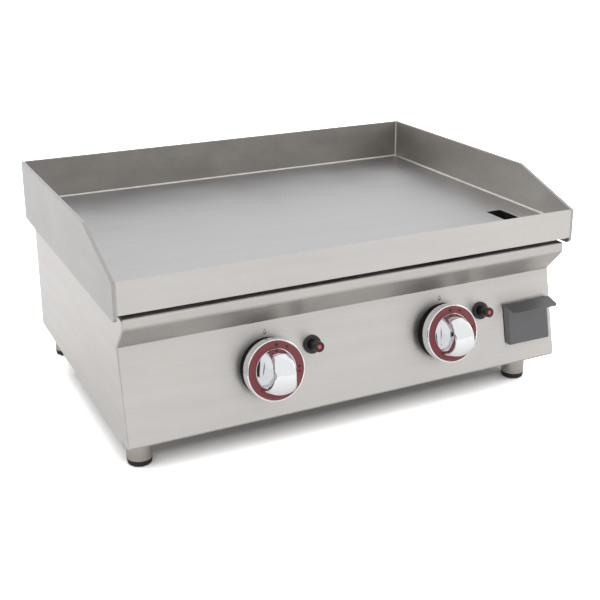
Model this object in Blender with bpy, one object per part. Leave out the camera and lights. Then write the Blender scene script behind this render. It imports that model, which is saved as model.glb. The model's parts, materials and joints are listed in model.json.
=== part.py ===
"""A counter-top gas griddle: a welded griddle pan on a sheet-steel casing, with two burners behind a leaning
control panel, a grease drawer and four screw feet.

Units are metres, +Z is up, +X is to the right and -Y is the front, where the cook stands. The origin is on
the counter, under the middle of the pan.
"""

import math

import bmesh
import bpy
from mathutils import Matrix, Vector

# ---------------------------------------------------------------- driving dimensions
GAP = 0.0003  # clearance between pieces that touch

# griddle pan
PAN_WIDTH = 0.700
PAN_DEPTH = 0.500
GUARD_SHEET = 0.005
GUARD_TOP = 0.327
GUARD_SLOPE_START_Y = -0.125
SKIRT_BOTTOM = 0.232
LIP_TOP = 0.284
LIP_BOTTOM = 0.241
PLATE_TOP = 0.262
PLATE_THICKNESS = 0.012
DRAIN_X = (0.275, 0.301)
DRAIN_Y = (-0.208, -0.140)

# casing
CASE_HALF_WIDTH = 0.3395
CASE_BOTTOM = 0.051
CASE_BACK = 0.236
SHEET = 0.0015
CORNER_RADIUS = 0.003
PANEL_FOOT_Y = -0.2425
CREASE = (-0.2143, 0.184)  # (y, z) of the line where the leaning face meets the undercut
NOSE_Y = -0.246
NOSE_LOW_Z = 0.2188
NOSE_TOP_Z = 0.234
NOSE_FLANGE_END_Y = -0.216
FOOT_FLANGE_END_Y = -0.222
SHIELD_Y = -0.140
SHIELD_END_X = 0.244

# controls, placed on the leaning face: x, then height measured up the face from its bottom edge
KNOB_X = {"left": -0.1355, "right": 0.1425}
KNOB_UP = 0.073
KNOB_RADIUS = 0.0424
KNOB_REACH = 0.060
KNOB_RIM = 0.0284  # how far the knob's front rim stands out from the face
DIAL_RADII = (0.0294, 0.0397)
GRIP_ENDS = (-0.0345, 0.0292)  # how far down and up the knob's face the grip reaches
CROWN_ENDS = (-0.0295, 0.0256)  # where its leaning ends meet its arched crown
CROWN_END_OUT = 0.0460
SPINDLE_RADIUS = 0.004
KNOB_SEGMENTS = 36
IGNITER_OFFSET = 0.068  # igniter to the right of its knob
IGNITER_UP = 0.0915
IGNITER_FLANGE_RADIUS = 0.013
IGNITER_BARREL_RADIUS = 0.0085
BUTTON_RADIUS = 0.0073
BUTTON_REACH = 0.0245

# gas system
MANIFOLD_UP = 0.047
MANIFOLD_DEPTH = 0.035
PIPE_RADIUS = 0.0095
PIPE_WALL = 0.0025
INLET_X = 0.190
TAP_DEPTH = (0.020, 0.052)
MIXER_DEPTH = 0.070
BURNER_Z = 0.195
BURNER_RADIUS = 0.016
BURNER_HALF_PITCH = 0.090
BURNER_Y = (-0.125, 0.190)
BURNER_CROSS_Y = 0.030
BURNER_WALL = 0.0012

# grease drawer
DRAWER_X = (0.2515, 0.3315)
DRAWER_UP = (0.0320, 0.0935)
DRAWER_PROUD = 0.0068
TRAY_X = (0.2545, 0.3285)
TRAY_Z = (0.0860, 0.1330)
TRAY_BACK_Y = 0.080
TRAY_WALL = 0.0012

# feet
FOOT_X = 0.3078
FOOT_Y = {"front": -0.184, "rear": 0.2165}
FOOT_RADIUS = 0.0177
SOLE_HEIGHT = 0.008
STUD_RADIUS = 0.005

# ---------------------------------------------------------------- worked out from the driving dimensions
HALF_WIDTH = PAN_WIDTH / 2
HALF_DEPTH = PAN_DEPTH / 2
PLATE_BOTTOM = PLATE_TOP - PLATE_THICKNESS
INNER_X = HALF_WIDTH - GUARD_SHEET - GAP
PANEL_LEAN = math.atan2(CREASE[0] - PANEL_FOOT_Y, CREASE[1] - CASE_BOTTOM)
PANEL_TURN = (math.pi / 2 - PANEL_LEAN, 0.0, 0.0)
PANEL_FRAME = Matrix.Translation((0.0, PANEL_FOOT_Y, CASE_BOTTOM)) @ Matrix.Rotation(PANEL_TURN[0], 4, "X")
CASE_INNER_X = CASE_HALF_WIDTH - SHEET - GAP
BASE_Z = CASE_BOTTOM + SHEET + GAP
BASE_HALF_WIDTH = CASE_HALF_WIDTH - CORNER_RADIUS
BASE_FRONT_Y = PANEL_FOOT_Y + 0.0055  # clear of the panel's bottom bend
SIDE_SIGN = {"left": -1, "right": 1}


def panel_point(x, up, out):
    """A world point on the leaning face, `up` along it from its foot and `out` towards the cook."""
    return PANEL_FRAME @ Vector((x, up, out))


# ---------------------------------------------------------------- finishes
def finish(name, colour, roughness, metallic):
    """A Principled material."""
    material = bpy.data.materials.new(name)
    material.use_nodes = True
    shader = material.node_tree.nodes["Principled BSDF"]
    shader.inputs["Base Color"].default_value = (*colour, 1.0)
    shader.inputs["Roughness"].default_value = roughness
    shader.inputs["Metallic"].default_value = metallic
    material.diffuse_color = (*colour, 1.0)
    return material


for leftover in list(bpy.data.objects):
    bpy.data.objects.remove(leftover)

STEEL = finish("brushed_stainless", (0.60, 0.59, 0.58), 0.35, 1.0)
PLATE_STEEL = finish("ground_plate_steel", (0.55, 0.55, 0.57), 0.40, 1.0)
DARK_STEEL = finish("drawer_steel", (0.17, 0.17, 0.18), 0.45, 1.0)
FOOT_STEEL = finish("foot_stainless", (0.50, 0.46, 0.42), 0.30, 1.0)
CHROME = finish("chrome", (0.80, 0.80, 0.82), 0.08, 1.0)
DIAL_RED = finish("dial_red", (0.24, 0.055, 0.06), 0.45, 0.0)
INSERT_RED = finish("insert_red", (0.48, 0.07, 0.06), 0.40, 0.0)
BLACK = finish("black_plastic", (0.010, 0.010, 0.010), 0.45, 0.0)
RUBBER = finish("black_rubber", (0.008, 0.008, 0.008), 0.70, 0.0)
BRASS = finish("brass", (0.60, 0.42, 0.17), 0.35, 1.0)
CERAMIC = finish("ceramic", (0.80, 0.78, 0.72), 0.50, 0.0)


# ---------------------------------------------------------------- shape helpers
def place(name, shape, material, location=(0, 0, 0), rotation=(0, 0, 0)):
    """Turn a bmesh into a named object and smooth its round parts."""
    bmesh.ops.recalc_face_normals(shape, faces=shape.faces)
    mesh = bpy.data.meshes.new(name)
    shape.to_mesh(mesh)
    shape.free()
    mesh.materials.append(material)
    obj = bpy.data.objects.new(name, mesh)
    obj.location = location
    obj.rotation_euler = rotation
    bpy.context.scene.collection.objects.link(obj)
    smooth(obj)
    return obj


def place_on_panel(name, shape, material, x, up):
    """Like place, with the object's Z axis standing out of the leaning face at (x, up)."""
    return place(name, shape, material, panel_point(x, up, 0.0), PANEL_TURN)


def smooth(obj, sharp_angle=30):
    obj.data.shade_smooth()
    obj.data.set_sharp_from_angle(angle=math.radians(sharp_angle))


def bake(obj):
    """Replace the object's mesh with its evaluated one."""
    bpy.context.view_layer.update()
    depsgraph = bpy.context.evaluated_depsgraph_get()
    mesh = bpy.data.meshes.new_from_object(obj.evaluated_get(depsgraph))
    obj.modifiers.clear()
    obj.data = mesh
    smooth(obj)


def combine(obj, operation, *tools):
    """Apply a Boolean of obj with each tool in turn, and remove the tools."""
    for tool in tools:
        boolean = obj.modifiers.new(operation.lower(), "BOOLEAN")
        boolean.operation = operation
        boolean.solver = "EXACT"
        boolean.object = tool
    bake(obj)
    for tool in tools:
        bpy.data.objects.remove(tool)
    return obj


def soften(obj, width, segments=1, angle=50):
    """Bevel the object's sharp edges."""
    bevel = obj.modifiers.new("soften", "BEVEL")
    bevel.width = width
    bevel.segments = segments
    bevel.limit_method = "ANGLE"
    bevel.angle_limit = math.radians(angle)
    bake(obj)
    return obj


def boxes(corner_pairs):
    """Separate boxes in one shape, each between two corners."""
    shape = bmesh.new()
    for low, high in corner_pairs:
        size = Vector(high) - Vector(low)
        middle = Matrix.Translation((Vector(high) + Vector(low)) / 2)
        bmesh.ops.create_cube(shape, size=1.0, matrix=middle @ Matrix.Diagonal((*size, 1.0)))
    return shape


def box(low, high):
    return boxes([(low, high)])


def prism(outline, low, high, axis="X"):
    """An outline extruded along an axis. The outline is (y, z) for X, (x, z) for Y and (x, y) for Z."""
    def corner(a, b, along):
        return {"X": (along, a, b), "Y": (a, along, b), "Z": (a, b, along)}[axis]

    shape = bmesh.new()
    start = [shape.verts.new(corner(a, b, low)) for a, b in outline]
    end = [shape.verts.new(corner(a, b, high)) for a, b in outline]
    shape.faces.new(start)
    shape.faces.new(end)
    for i in range(len(outline)):
        j = (i + 1) % len(outline)
        shape.faces.new((start[i], start[j], end[j], end[i]))
    return shape


def loft(rings, closed=False):
    """Skin a list of equal rings of points. A closed loft joins its last ring to its first."""
    shape = bmesh.new()
    levels = [[shape.verts.new(point) for point in ring] for ring in rings]
    count = len(levels[0])
    pairs = list(zip(levels, levels[1:]))
    if closed:
        pairs.append((levels[-1], levels[0]))
    for lower, upper in pairs:
        for i in range(count):
            j = (i + 1) % count
            shape.faces.new((lower[i], lower[j], upper[j], upper[i]))
    if not closed:
        shape.faces.new(levels[0])
        shape.faces.new(levels[-1])
    return shape


def turned(profile, segments=24):
    """A solid turned about Z from a closed (radius, z) profile, which may start and end on the axis."""
    shape = bmesh.new()
    columns = []
    for radius, z in profile:
        if radius == 0:
            columns.append([shape.verts.new((0.0, 0.0, z))] * segments)
        else:
            ring = [2 * math.pi * i / segments for i in range(segments)]
            columns.append([shape.verts.new((radius * math.cos(a), radius * math.sin(a), z)) for a in ring])
    for lower, upper in zip(columns, columns[1:] + columns[:1]):
        for i in range(segments):
            j = (i + 1) % segments
            corners = list(dict.fromkeys((lower[i], lower[j], upper[j], upper[i])))
            if len(corners) > 2:
                shape.faces.new(corners)
    return shape


def cylinder(radius, low, high, segments=16):
    return turned([(0, low), (radius, low), (radius, high), (0, high)], segments)


def tube_path(corners, radius, steps=5):
    """A 3-D path through the corners, with each inner corner rounded to about `radius`."""
    points = [Vector(corners[0])]
    for before, corner, after in zip(corners, corners[1:], corners[2:]):
        corner = Vector(corner)
        back = Vector(before) - corner
        ahead = Vector(after) - corner
        reach = min(radius, back.length / 2, ahead.length / 2)
        first = corner + back.normalized() * reach
        last = corner + ahead.normalized() * reach
        for i in range(steps + 1):
            t = i / steps
            points.append(first * (1 - t) ** 2 + corner * 2 * t * (1 - t) + last * t ** 2)
    points.append(Vector(corners[-1]))
    return points


def path_rings(points, radii, segments):
    """Circles of the given radii, square to the path at each of its points."""
    direction = (points[1] - points[0]).normalized()
    across = direction.orthogonal().normalized()
    rings = []
    for i, (point, radius) in enumerate(zip(points, radii)):
        ahead = points[min(i + 1, len(points) - 1)] - points[max(i - 1, 0)]
        direction = ahead.normalized()
        across = (across - direction * across.dot(direction)).normalized()
        over = direction.cross(across)
        ring = []
        for k in range(segments):
            angle = 2 * math.pi * k / segments
            ring.append(point + (across * math.cos(angle) + over * math.sin(angle)) * radius)
        rings.append(ring)
    return rings


def rod(points, radius, segments=8):
    """A solid rod along a path."""
    return loft(path_rings(points, [radius] * len(points), segments))


def pipe(points, radius, wall, segments=12):
    """A pipe along a path, open at both ends."""
    outside = path_rings(points, [radius] * len(points), segments)
    inside = path_rings(points, [radius - wall] * len(points), segments)
    return loft(outside + inside[::-1], closed=True)


def fillet(corners, radii, steps=3):
    """A 2-D line through the corners, with each inner corner rounded to its own radius."""
    line = [Vector(corners[0])]
    for before, corner, after, radius in zip(corners, corners[1:], corners[2:], radii):
        corner = Vector(corner)
        back = (Vector(before) - corner).normalized()
        ahead = (Vector(after) - corner).normalized()
        half = back.angle(ahead) / 2
        centre = corner + (back + ahead).normalized() * radius / math.sin(half)
        first = corner + back * radius / math.tan(half) - centre
        last = corner + ahead * radius / math.tan(half) - centre
        turn = first.angle_signed(last)
        for i in range(steps + 1):
            angle = -turn * i / steps
            c, s = math.cos(angle), math.sin(angle)
            line.append(centre + Vector((first.x * c - first.y * s, first.x * s + first.y * c)))
    line.append(Vector(corners[-1]))
    return line


def offset(line, distance):
    """The line moved sideways to its right."""
    moved = []
    for i, point in enumerate(line):
        before = (point - line[i - 1]).normalized() if i > 0 else None
        after = (line[i + 1] - point).normalized() if i + 1 < len(line) else None
        before = before or after
        after = after or before
        normal_before = Vector((before.y, -before.x))
        normal_after = Vector((after.y, -after.x))
        middle = (normal_before + normal_after).normalized()
        moved.append(point + middle * distance / middle.dot(normal_before))
    return moved


def folded_outline(corners, radii, thickness):
    """The closed outline of a folded sheet whose outer line runs through the corners, sheet on its right."""
    line = fillet(corners, radii)
    return line + offset(line, thickness)[::-1]


def hexagon(width_across_flats):
    radius = width_across_flats / math.sqrt(3)
    return [(radius * math.cos(i * math.pi / 3), radius * math.sin(i * math.pi / 3)) for i in range(6)]


# ---------------------------------------------------------------- griddle pan
def griddle_plate():
    """The thick cooking plate, with the grease drain slot near its front right corner."""
    edge_y = HALF_DEPTH - GUARD_SHEET - GAP
    slab = box((-INNER_X, -edge_y, PLATE_BOTTOM), (INNER_X, edge_y, PLATE_TOP))
    plate = place("griddle_plate", slab, PLATE_STEEL)
    slot = prism(slot_outline(), PLATE_BOTTOM - 0.01, PLATE_TOP + 0.01, "Z")
    combine(plate, "DIFFERENCE", place("slot", slot, PLATE_STEEL))


def slot_outline():
    corner = 0.002
    x0, x1 = DRAIN_X
    y0, y1 = DRAIN_Y
    corners = [((x0 + x1) / 2, y0), (x1, y0), (x1, y1), (x0, y1), (x0, y0), ((x0 + x1) / 2 - 0.001, y0)]
    return fillet(corners, [corner] * 4, steps=2)


def side_guard(side):
    """A side of the pan: one plate that is guard above, skirt below, and slopes down to the lip in front."""
    front, back = -HALF_DEPTH, HALF_DEPTH
    middle_y = 0.1
    corners = [
        (middle_y, SKIRT_BOTTOM),
        (front, SKIRT_BOTTOM),
        (front, LIP_TOP),
        (GUARD_SLOPE_START_Y, GUARD_TOP),
        (back, GUARD_TOP),
        (back, SKIRT_BOTTOM),
        (middle_y + 0.001, SKIRT_BOTTOM),
    ]
    outline = fillet(corners, [0.008, 0.003, 0.008, 0.002, 0.002])
    outer = SIDE_SIGN[side] * HALF_WIDTH
    inner = SIDE_SIGN[side] * (HALF_WIDTH - GUARD_SHEET)
    guard = place(f"splash_guard_{side}", prism(outline, min(outer, inner), max(outer, inner)), STEEL)
    soften(guard, 0.0006)


def back_guard():
    inner_y = HALF_DEPTH - GUARD_SHEET
    guard = box((-INNER_X, inner_y, SKIRT_BOTTOM), (INNER_X, HALF_DEPTH, GUARD_TOP))
    soften(place("splash_guard_back", guard, STEEL), 0.0006)


def front_lip():
    inner_y = -HALF_DEPTH + GUARD_SHEET
    lip = box((-INNER_X, -HALF_DEPTH, LIP_BOTTOM), (INNER_X, inner_y, LIP_TOP))
    soften(place("front_lip", lip, STEEL), 0.0008, segments=2)


def drain_chute():
    """A rectangular funnel from the drain slot down to just above the drawer."""
    wall = 0.0012
    flange = 0.006
    outlet_z = 0.146
    top = PLATE_BOTTOM - GAP
    below_flange = top - SHEET
    x0, x1 = DRAIN_X[0] - 0.0005, DRAIN_X[1] + 0.0005
    y0, y1 = DRAIN_Y[0] - 0.0005, DRAIN_Y[1] + 0.0005
    narrow = 0.004
    shorten = 0.014

    def ring(grow, inset_x, inset_y, z):
        low_x, high_x = x0 - grow + inset_x, x1 + grow - inset_x
        low_y, high_y = y0 - grow + inset_y, y1 + grow - inset_y
        return [(low_x, low_y, z), (high_x, low_y, z), (high_x, high_y, z), (low_x, high_y, z)]

    rings = [
        ring(flange, 0, 0, top),
        ring(flange, 0, 0, below_flange),
        ring(wall, 0, 0, below_flange),
        ring(wall, narrow, shorten, outlet_z),
        ring(0, narrow, shorten, outlet_z),
        ring(0, 0, 0, top),
    ]
    place("drain_chute", loft(rings, closed=True), STEEL)


# ---------------------------------------------------------------- casing
def panel_line():
    """The (y, z) line of the control panel's outer surface, from the foot flange up to the nose flange."""
    corners = [
        (FOOT_FLANGE_END_Y, CASE_BOTTOM),
        (PANEL_FOOT_Y, CASE_BOTTOM),
        CREASE,
        (NOSE_Y, NOSE_LOW_Z),
        (NOSE_Y, NOSE_TOP_Z),
        (NOSE_FLANGE_END_Y, NOSE_TOP_Z),
    ]
    return fillet(corners, [0.0036, 0.002, 0.009, 0.004])


def front_panel():
    """The folded control panel. Its ends curl round the casing's corners, each end section further in."""
    line = panel_line()
    curl = [math.radians(a) for a in (90, 45, 0)]

    def section(sign, angle):
        outer = offset(line, CORNER_RADIUS * (1 - math.cos(angle)))
        inner = offset(line, CORNER_RADIUS - (CORNER_RADIUS - SHEET) * math.cos(angle))
        centre_x = CASE_HALF_WIDTH - CORNER_RADIUS
        outer_x = sign * (centre_x + CORNER_RADIUS * math.sin(angle))
        inner_x = sign * (centre_x + (CORNER_RADIUS - SHEET) * math.sin(angle))
        return [(outer_x, y, z) for y, z in outer] + [(inner_x, y, z) for y, z in inner[::-1]]

    rings = [section(-1, a) for a in curl] + [section(1, a) for a in curl[::-1]]
    shape = loft(rings)
    # the end caps are narrow strips between the outer and inner lines
    count = len(line)
    for cap in [f for f in shape.faces if len(f.verts) > 4]:
        corners = list(cap.verts)
        bmesh.ops.delete(shape, geom=[cap], context="FACES_ONLY")
        for i in range(count - 1):
            shape.faces.new((corners[i], corners[i + 1], corners[-2 - i], corners[-1 - i]))
    panel = place("front_panel", shape, STEEL)
    cutters = []
    for x in KNOB_X.values():
        cutters.append(place_on_panel("spindle_hole", cylinder(0.0115, -0.02, 0.01), STEEL, x, KNOB_UP))
        igniter_x = x + IGNITER_OFFSET
        barrel_hole = cylinder(IGNITER_BARREL_RADIUS + 0.0004, -0.02, 0.01)
        cutters.append(place_on_panel("barrel_hole", barrel_hole, STEEL, igniter_x, IGNITER_UP))
    opening_low = (DRAWER_X[0] + 0.001, DRAWER_UP[0] + 0.0035, -0.02)
    opening_high = (DRAWER_X[1] - 0.001, DRAWER_UP[1] - 0.001, 0.01)
    opening = box(opening_low, opening_high)
    cutters.append(place_on_panel("drawer_opening", opening, STEEL, 0.0, 0.0))
    combine(panel, "DIFFERENCE", *cutters)


def side_panel(side):
    """A casing side. Its front edge follows the control panel's end, and its top flange carries the pan."""
    clear = CORNER_RADIUS + GAP
    inner_line = offset(panel_line(), clear)
    top = PLATE_BOTTOM - GAP
    back = CASE_BACK - GAP
    outline = inner_line + [
        Vector((NOSE_FLANGE_END_Y + GAP, NOSE_TOP_Z - clear)),
        Vector((NOSE_FLANGE_END_Y + GAP, top)),
        Vector((back, top)),
        Vector((back, CASE_BOTTOM)),
        Vector((FOOT_FLANGE_END_Y + GAP, CASE_BOTTOM)),
        Vector((FOOT_FLANGE_END_Y + GAP, CASE_BOTTOM + clear)),
    ]
    outer = SIDE_SIGN[side] * CASE_HALF_WIDTH
    inner = SIDE_SIGN[side] * (CASE_HALF_WIDTH - SHEET)
    panel = place(f"side_panel_{side}", prism(outline, min(outer, inner), max(outer, inner)), STEEL)
    flange_width = 0.020
    flange_end = SIDE_SIGN[side] * (CASE_HALF_WIDTH - flange_width)
    overlap = SIDE_SIGN[side] * (CASE_HALF_WIDTH - SHEET / 2)
    low = (min(flange_end, overlap), NOSE_FLANGE_END_Y + 0.002, top - SHEET)
    high = (max(flange_end, overlap), CASE_BACK - 0.020, top)
    combine(panel, "UNION", place("flange", box(low, high), STEEL))


def rear_panel():
    """The casing's back, folded in at the top, with a row of flue slots and the gas inlet hole."""
    top = PLATE_BOTTOM - GAP
    corners = [(CASE_BACK, CASE_BOTTOM), (CASE_BACK, top), (CASE_BACK - 0.018, top)]
    outline = folded_outline(corners, [0.003], -SHEET)
    panel = place("rear_panel", prism(outline, -CASE_INNER_X, CASE_INNER_X), STEEL)
    slot_count = 16
    pitch = 0.036
    slots = []
    for i in range(slot_count):
        x = (i - (slot_count - 1) / 2) * pitch
        slots.append(((x - 0.004, CASE_BACK - 0.01, 0.180), (x + 0.004, CASE_BACK + 0.01, 0.212)))
    inlet = cylinder(PIPE_RADIUS + 0.0006, -0.02, 0.02)
    inlet_z = manifold_centre().z
    inlet_hole = place("inlet_hole", inlet, STEEL, (INLET_X, CASE_BACK, inlet_z), (math.pi / 2, 0, 0))
    combine(panel, "DIFFERENCE", place("slots", boxes(slots), STEEL), inlet_hole)


def base_pan():
    """The bottom sheet, with air openings under the burners and a threaded boss over each foot."""
    low = (-BASE_HALF_WIDTH, BASE_FRONT_Y, BASE_Z)
    high = (BASE_HALF_WIDTH, CASE_BACK - SHEET - GAP, BASE_Z + SHEET)
    pan = place("base_pan", box(low, high), STEEL)
    boss_radius = 0.010
    boss_top = 0.068
    bosses = []
    stud_holes = []
    for sign in SIDE_SIGN.values():
        for y in FOOT_Y.values():
            boss = cylinder(boss_radius, BASE_Z + SHEET / 2, boss_top)
            bosses.append(place("boss", boss, STEEL, (sign * FOOT_X, y, 0)))
            hole = cylinder(STUD_RADIUS + 0.0004, CASE_BOTTOM - 0.01, boss_top + 0.01)
            stud_holes.append(place("stud_hole", hole, STEEL, (sign * FOOT_X, y, 0)))
    combine(pan, "UNION", *bosses)
    air_slots = []
    for x in KNOB_X.values():
        for y in (-0.08, 0.0, 0.08):
            low = (x - 0.06, y - 0.012, CASE_BOTTOM - 0.01)
            high = (x + 0.03, y + 0.012, BASE_Z + 0.01)
            air_slots.append((low, high))
    combine(pan, "DIFFERENCE", place("air_slots", boxes(air_slots), STEEL), *stud_holes)


def heat_shield():
    """The sheet between controls and burners, with holes for the mixing tubes, leads and gas pipe."""
    bottom = BASE_Z + SHEET + GAP
    corners = [(SHIELD_Y + 0.014, bottom), (SHIELD_Y, bottom), (SHIELD_Y, 0.2315)]
    outline = folded_outline(corners, [0.002], SHEET)
    shield = place("heat_shield", prism(outline, -CASE_INNER_X + 0.001, SHIELD_END_X), STEEL)
    along_y = (math.pi / 2, 0, 0)
    cutters = []
    for x in KNOB_X.values():
        mixer = cylinder(0.0145, -0.02, 0.02)
        centre = mixer_point(x, (SHIELD_Y - panel_point(x, KNOB_UP, 0.0).y) / math.cos(PANEL_LEAN))
        cutters.append(place("mixer_hole", mixer, STEEL, (x, SHIELD_Y, centre.z), along_y))
        for hole_x, hole_z in (thermocouple_hole(x), cable_hole(x)):
            lead_hole = cylinder(0.004, -0.02, 0.02, 10)
            cutters.append(place("lead_hole", lead_hole, STEEL, (hole_x, SHIELD_Y, hole_z), along_y))
    gas_hole = cylinder(PIPE_RADIUS + 0.001, -0.02, 0.02)
    cutters.append(place("gas_hole", gas_hole, STEEL, (INLET_X, SHIELD_Y, manifold_centre().z), along_y))
    combine(shield, "DIFFERENCE", *cutters)


# ---------------------------------------------------------------- gas system
def manifold_centre():
    return panel_point(0.0, MANIFOLD_UP, -MANIFOLD_DEPTH)


def mixer_point(x, depth):
    """A point on the tap's axis, `depth` behind the leaning face."""
    return panel_point(x, KNOB_UP, -depth)


def thermocouple_hole(knob_x):
    return knob_x - 0.035, 0.140


def cable_hole(knob_x):
    return knob_x + 0.066, 0.130


def manifold():
    """The gas rail behind the taps, closed at its left end."""
    centre = manifold_centre()
    left = KNOB_X["left"] - 0.030
    right = INLET_X - 0.0185
    bore = PIPE_RADIUS - PIPE_WALL
    cap = left + 0.004
    profile = [(0, left), (PIPE_RADIUS, left), (PIPE_RADIUS, right), (bore, right), (bore, cap), (0, cap)]
    place("gas_manifold", turned(profile, 16), STEEL, (0, centre.y, centre.z), (0, math.pi / 2, 0))


def inlet_end_y():
    """The gas inlet stands as far out behind as the knobs' grips do in front."""
    return -min(panel_point(0.0, KNOB_UP + up, out).y for up, out in grip_outline())


def inlet_pipe():
    """The pipe from the rail's right end out through the casing's back, and the nut that holds it there."""
    centre = manifold_centre()
    start = (INLET_X - 0.0180, centre.y, centre.z)
    corner = (INLET_X, centre.y, centre.z)
    end = (INLET_X, inlet_end_y(), centre.z)
    path = tube_path([start, corner, end], 0.014, steps=4)
    place("gas_inlet_pipe", pipe(path, PIPE_RADIUS, PIPE_WALL), BRASS)
    nut_at = (INLET_X, CASE_BACK + GAP, centre.z)
    out_of_back = (-math.pi / 2, 0, 0)
    nut = place("gas_inlet_nut", prism(hexagon(0.027), 0.0, 0.014, "Z"), BRASS, nut_at, out_of_back)
    bore = cylinder(PIPE_RADIUS + GAP, -0.01, 0.03)
    combine(nut, "DIFFERENCE", place("bore", bore, BRASS, nut_at, out_of_back))


def gas_tap(side):
    """A tap: block on the gas rail, nose through to the panel, and the bore for its plunger and spindle."""
    x = KNOB_X[side]
    front, back = TAP_DEPTH
    block = box((-0.017, -0.0162, -back), (0.017, 0.016, -front))
    tap = place_on_panel(f"gas_tap_{side}", block, BRASS, x, KNOB_UP)
    nose = place_on_panel("nose", cylinder(0.0105, -front - 0.001, -0.003), BRASS, x, KNOB_UP)
    boss = place_on_panel("outlet", cylinder(0.008, -back - 0.0022, -back + 0.001), BRASS, x, KNOB_UP)
    combine(tap, "UNION", nose, boss)
    bore = place_on_panel("bore", cylinder(SPINDLE_RADIUS + 0.0005, -back + 0.004, 0.01), BRASS, x, KNOB_UP)
    combine(tap, "DIFFERENCE", bore)
    nozzle_start = -back - 0.0025
    nozzle = [
        (0.001, nozzle_start),
        (0.006, nozzle_start),
        (0.006, nozzle_start - 0.007),
        (0.004, nozzle_start - 0.008),
        (0.0025, nozzle_start - 0.0125),
        (0.001, nozzle_start - 0.0125),
    ]
    place_on_panel(f"injector_{side}", turned(nozzle, 12), BRASS, x, KNOB_UP)


def burner(side):
    """Two ported tubes joined by a cross tube, fed by a mixing tube that starts behind the injector."""
    x = KNOB_X[side]
    along_y = (-math.pi / 2, 0, 0)
    along_x = (0, math.pi / 2, 0)
    back = -panel_direction()
    mouth = mixer_point(x, MIXER_DEPTH)
    bend_start = mixer_point(x, MIXER_DEPTH + 0.035)
    bend_end = Vector((x, BURNER_CROSS_Y, BURNER_Z))
    lead_in = bend_start + back * 0.075
    lead_out = bend_end - Vector((0, 0, 0.070))
    curve_steps = 6

    def bend_point(t):
        """A cubic curve from the end of the straight mixing tube up into the cross tube."""
        return (
            bend_start * (1 - t) ** 3
            + lead_in * 3 * t * (1 - t) ** 2
            + lead_out * 3 * t ** 2 * (1 - t)
            + bend_end * t ** 3
        )

    def tubes(shrink, mouth_reach):
        """The burner's tubes as solids, each smaller by `shrink` in radius and at its ends."""
        leg_radius = BURNER_RADIUS - shrink
        length = BURNER_Y[1] - BURNER_Y[0] - 2 * shrink
        leg_start = BURNER_Y[0] + shrink
        legs = []
        for sign in (-1, 1):
            at = (x + sign * BURNER_HALF_PITCH, leg_start, BURNER_Z)
            legs.append(place("leg", cylinder(leg_radius, 0, length, 12), STEEL, at, along_y))
        cross_at = (x - BURNER_HALF_PITCH, BURNER_CROSS_Y, BURNER_Z)
        cross_tube = cylinder(0.013 - shrink, 0, 2 * BURNER_HALF_PITCH, 12)
        cross = place("cross", cross_tube, STEEL, cross_at, along_x)
        straight = [mouth - back * mouth_reach, mouth + back * 0.010, bend_start]
        path = straight + [bend_point(i / curve_steps) for i in range(1, curve_steps + 1)]
        radii = [0.0155 - shrink] + [0.0125 - shrink] * (len(path) - 1)
        mixer = place("mixer", loft(path_rings(path, radii, 12)), STEEL)
        return legs + [cross, mixer]

    body, *rest = tubes(0.0, 0.0)
    combine(body, "UNION", *rest)
    hollow, *rest = tubes(BURNER_WALL, 0.001)
    combine(hollow, "UNION", *rest)
    combine(body, "DIFFERENCE", hollow)
    port_count = 8
    port_pitch = 0.036
    ports = []
    for sign in (-1, 1):
        leg_x = x + sign * BURNER_HALF_PITCH
        for i in range(port_count):
            y = BURNER_Y[0] + 0.022 + i * port_pitch
            low = (leg_x - 0.008, y, BURNER_Z + 0.009)
            high = (leg_x + 0.008, y + 0.0025, BURNER_Z + 0.030)
            ports.append((low, high))
    combine(body, "DIFFERENCE", place("ports", boxes(ports), STEEL))
    body.name = f"burner_{side}"


def panel_direction():
    """The direction out of the leaning face."""
    return (PANEL_FRAME.to_3x3() @ Vector((0, 0, 1))).normalized()


def burner_rail(name, y):
    """An angle bar across the casing that carries the burner tubes."""
    top = BURNER_Z - BURNER_RADIUS - GAP
    corners = [(y, top - 0.020), (y, top), (y + 0.018, top)]
    outline = folded_outline(corners, [0.003], 0.002)
    place(name, prism(outline, -CASE_INNER_X, CASE_INNER_X), STEEL)


def flame_sensing(side):
    """The thermocouple from tap to burner tube, and the spark electrode with its lead at the other tube."""
    x = KNOB_X[side]
    hole_x, hole_z = thermocouple_hole(x)
    start = panel_point(x - 0.012, KNOB_UP + 0.008, -TAP_DEPTH[1] - GAP)
    corners = [
        start,
        start - panel_direction() * 0.012,
        (hole_x, SHIELD_Y - 0.012, hole_z),
        (hole_x, SHIELD_Y + 0.012, hole_z),
        (x - 0.066, -0.080, hole_z),
        (x - 0.066, -0.080, 0.212),
    ]
    place(f"thermocouple_{side}", rod(tube_path(corners, 0.008, 3), 0.0015, 6), BRASS)

    electrode_x, lead_z = cable_hole(x)
    ceramic_low, ceramic_high, tip = 0.150, 0.190, 0.212
    profile = [
        (0, ceramic_low),
        (0.0035, ceramic_low),
        (0.0035, ceramic_high),
        (0.001, ceramic_high + 0.001),
        (0.001, tip),
        (0, tip),
    ]
    place(f"spark_electrode_{side}", turned(profile, 10), CERAMIC, (electrode_x, -0.080, 0))
    igniter_end = panel_point(x + IGNITER_OFFSET, IGNITER_UP, -0.045 - GAP)
    corners = [
        igniter_end,
        igniter_end - panel_direction() * 0.010,
        (electrode_x, SHIELD_Y - 0.012, lead_z),
        (electrode_x, -0.080, lead_z),
        (electrode_x, -0.080, ceramic_low - GAP),
    ]
    place(f"ignition_cable_{side}", rod(tube_path(corners, 0.008, 3), 0.002, 6), RUBBER)


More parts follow.
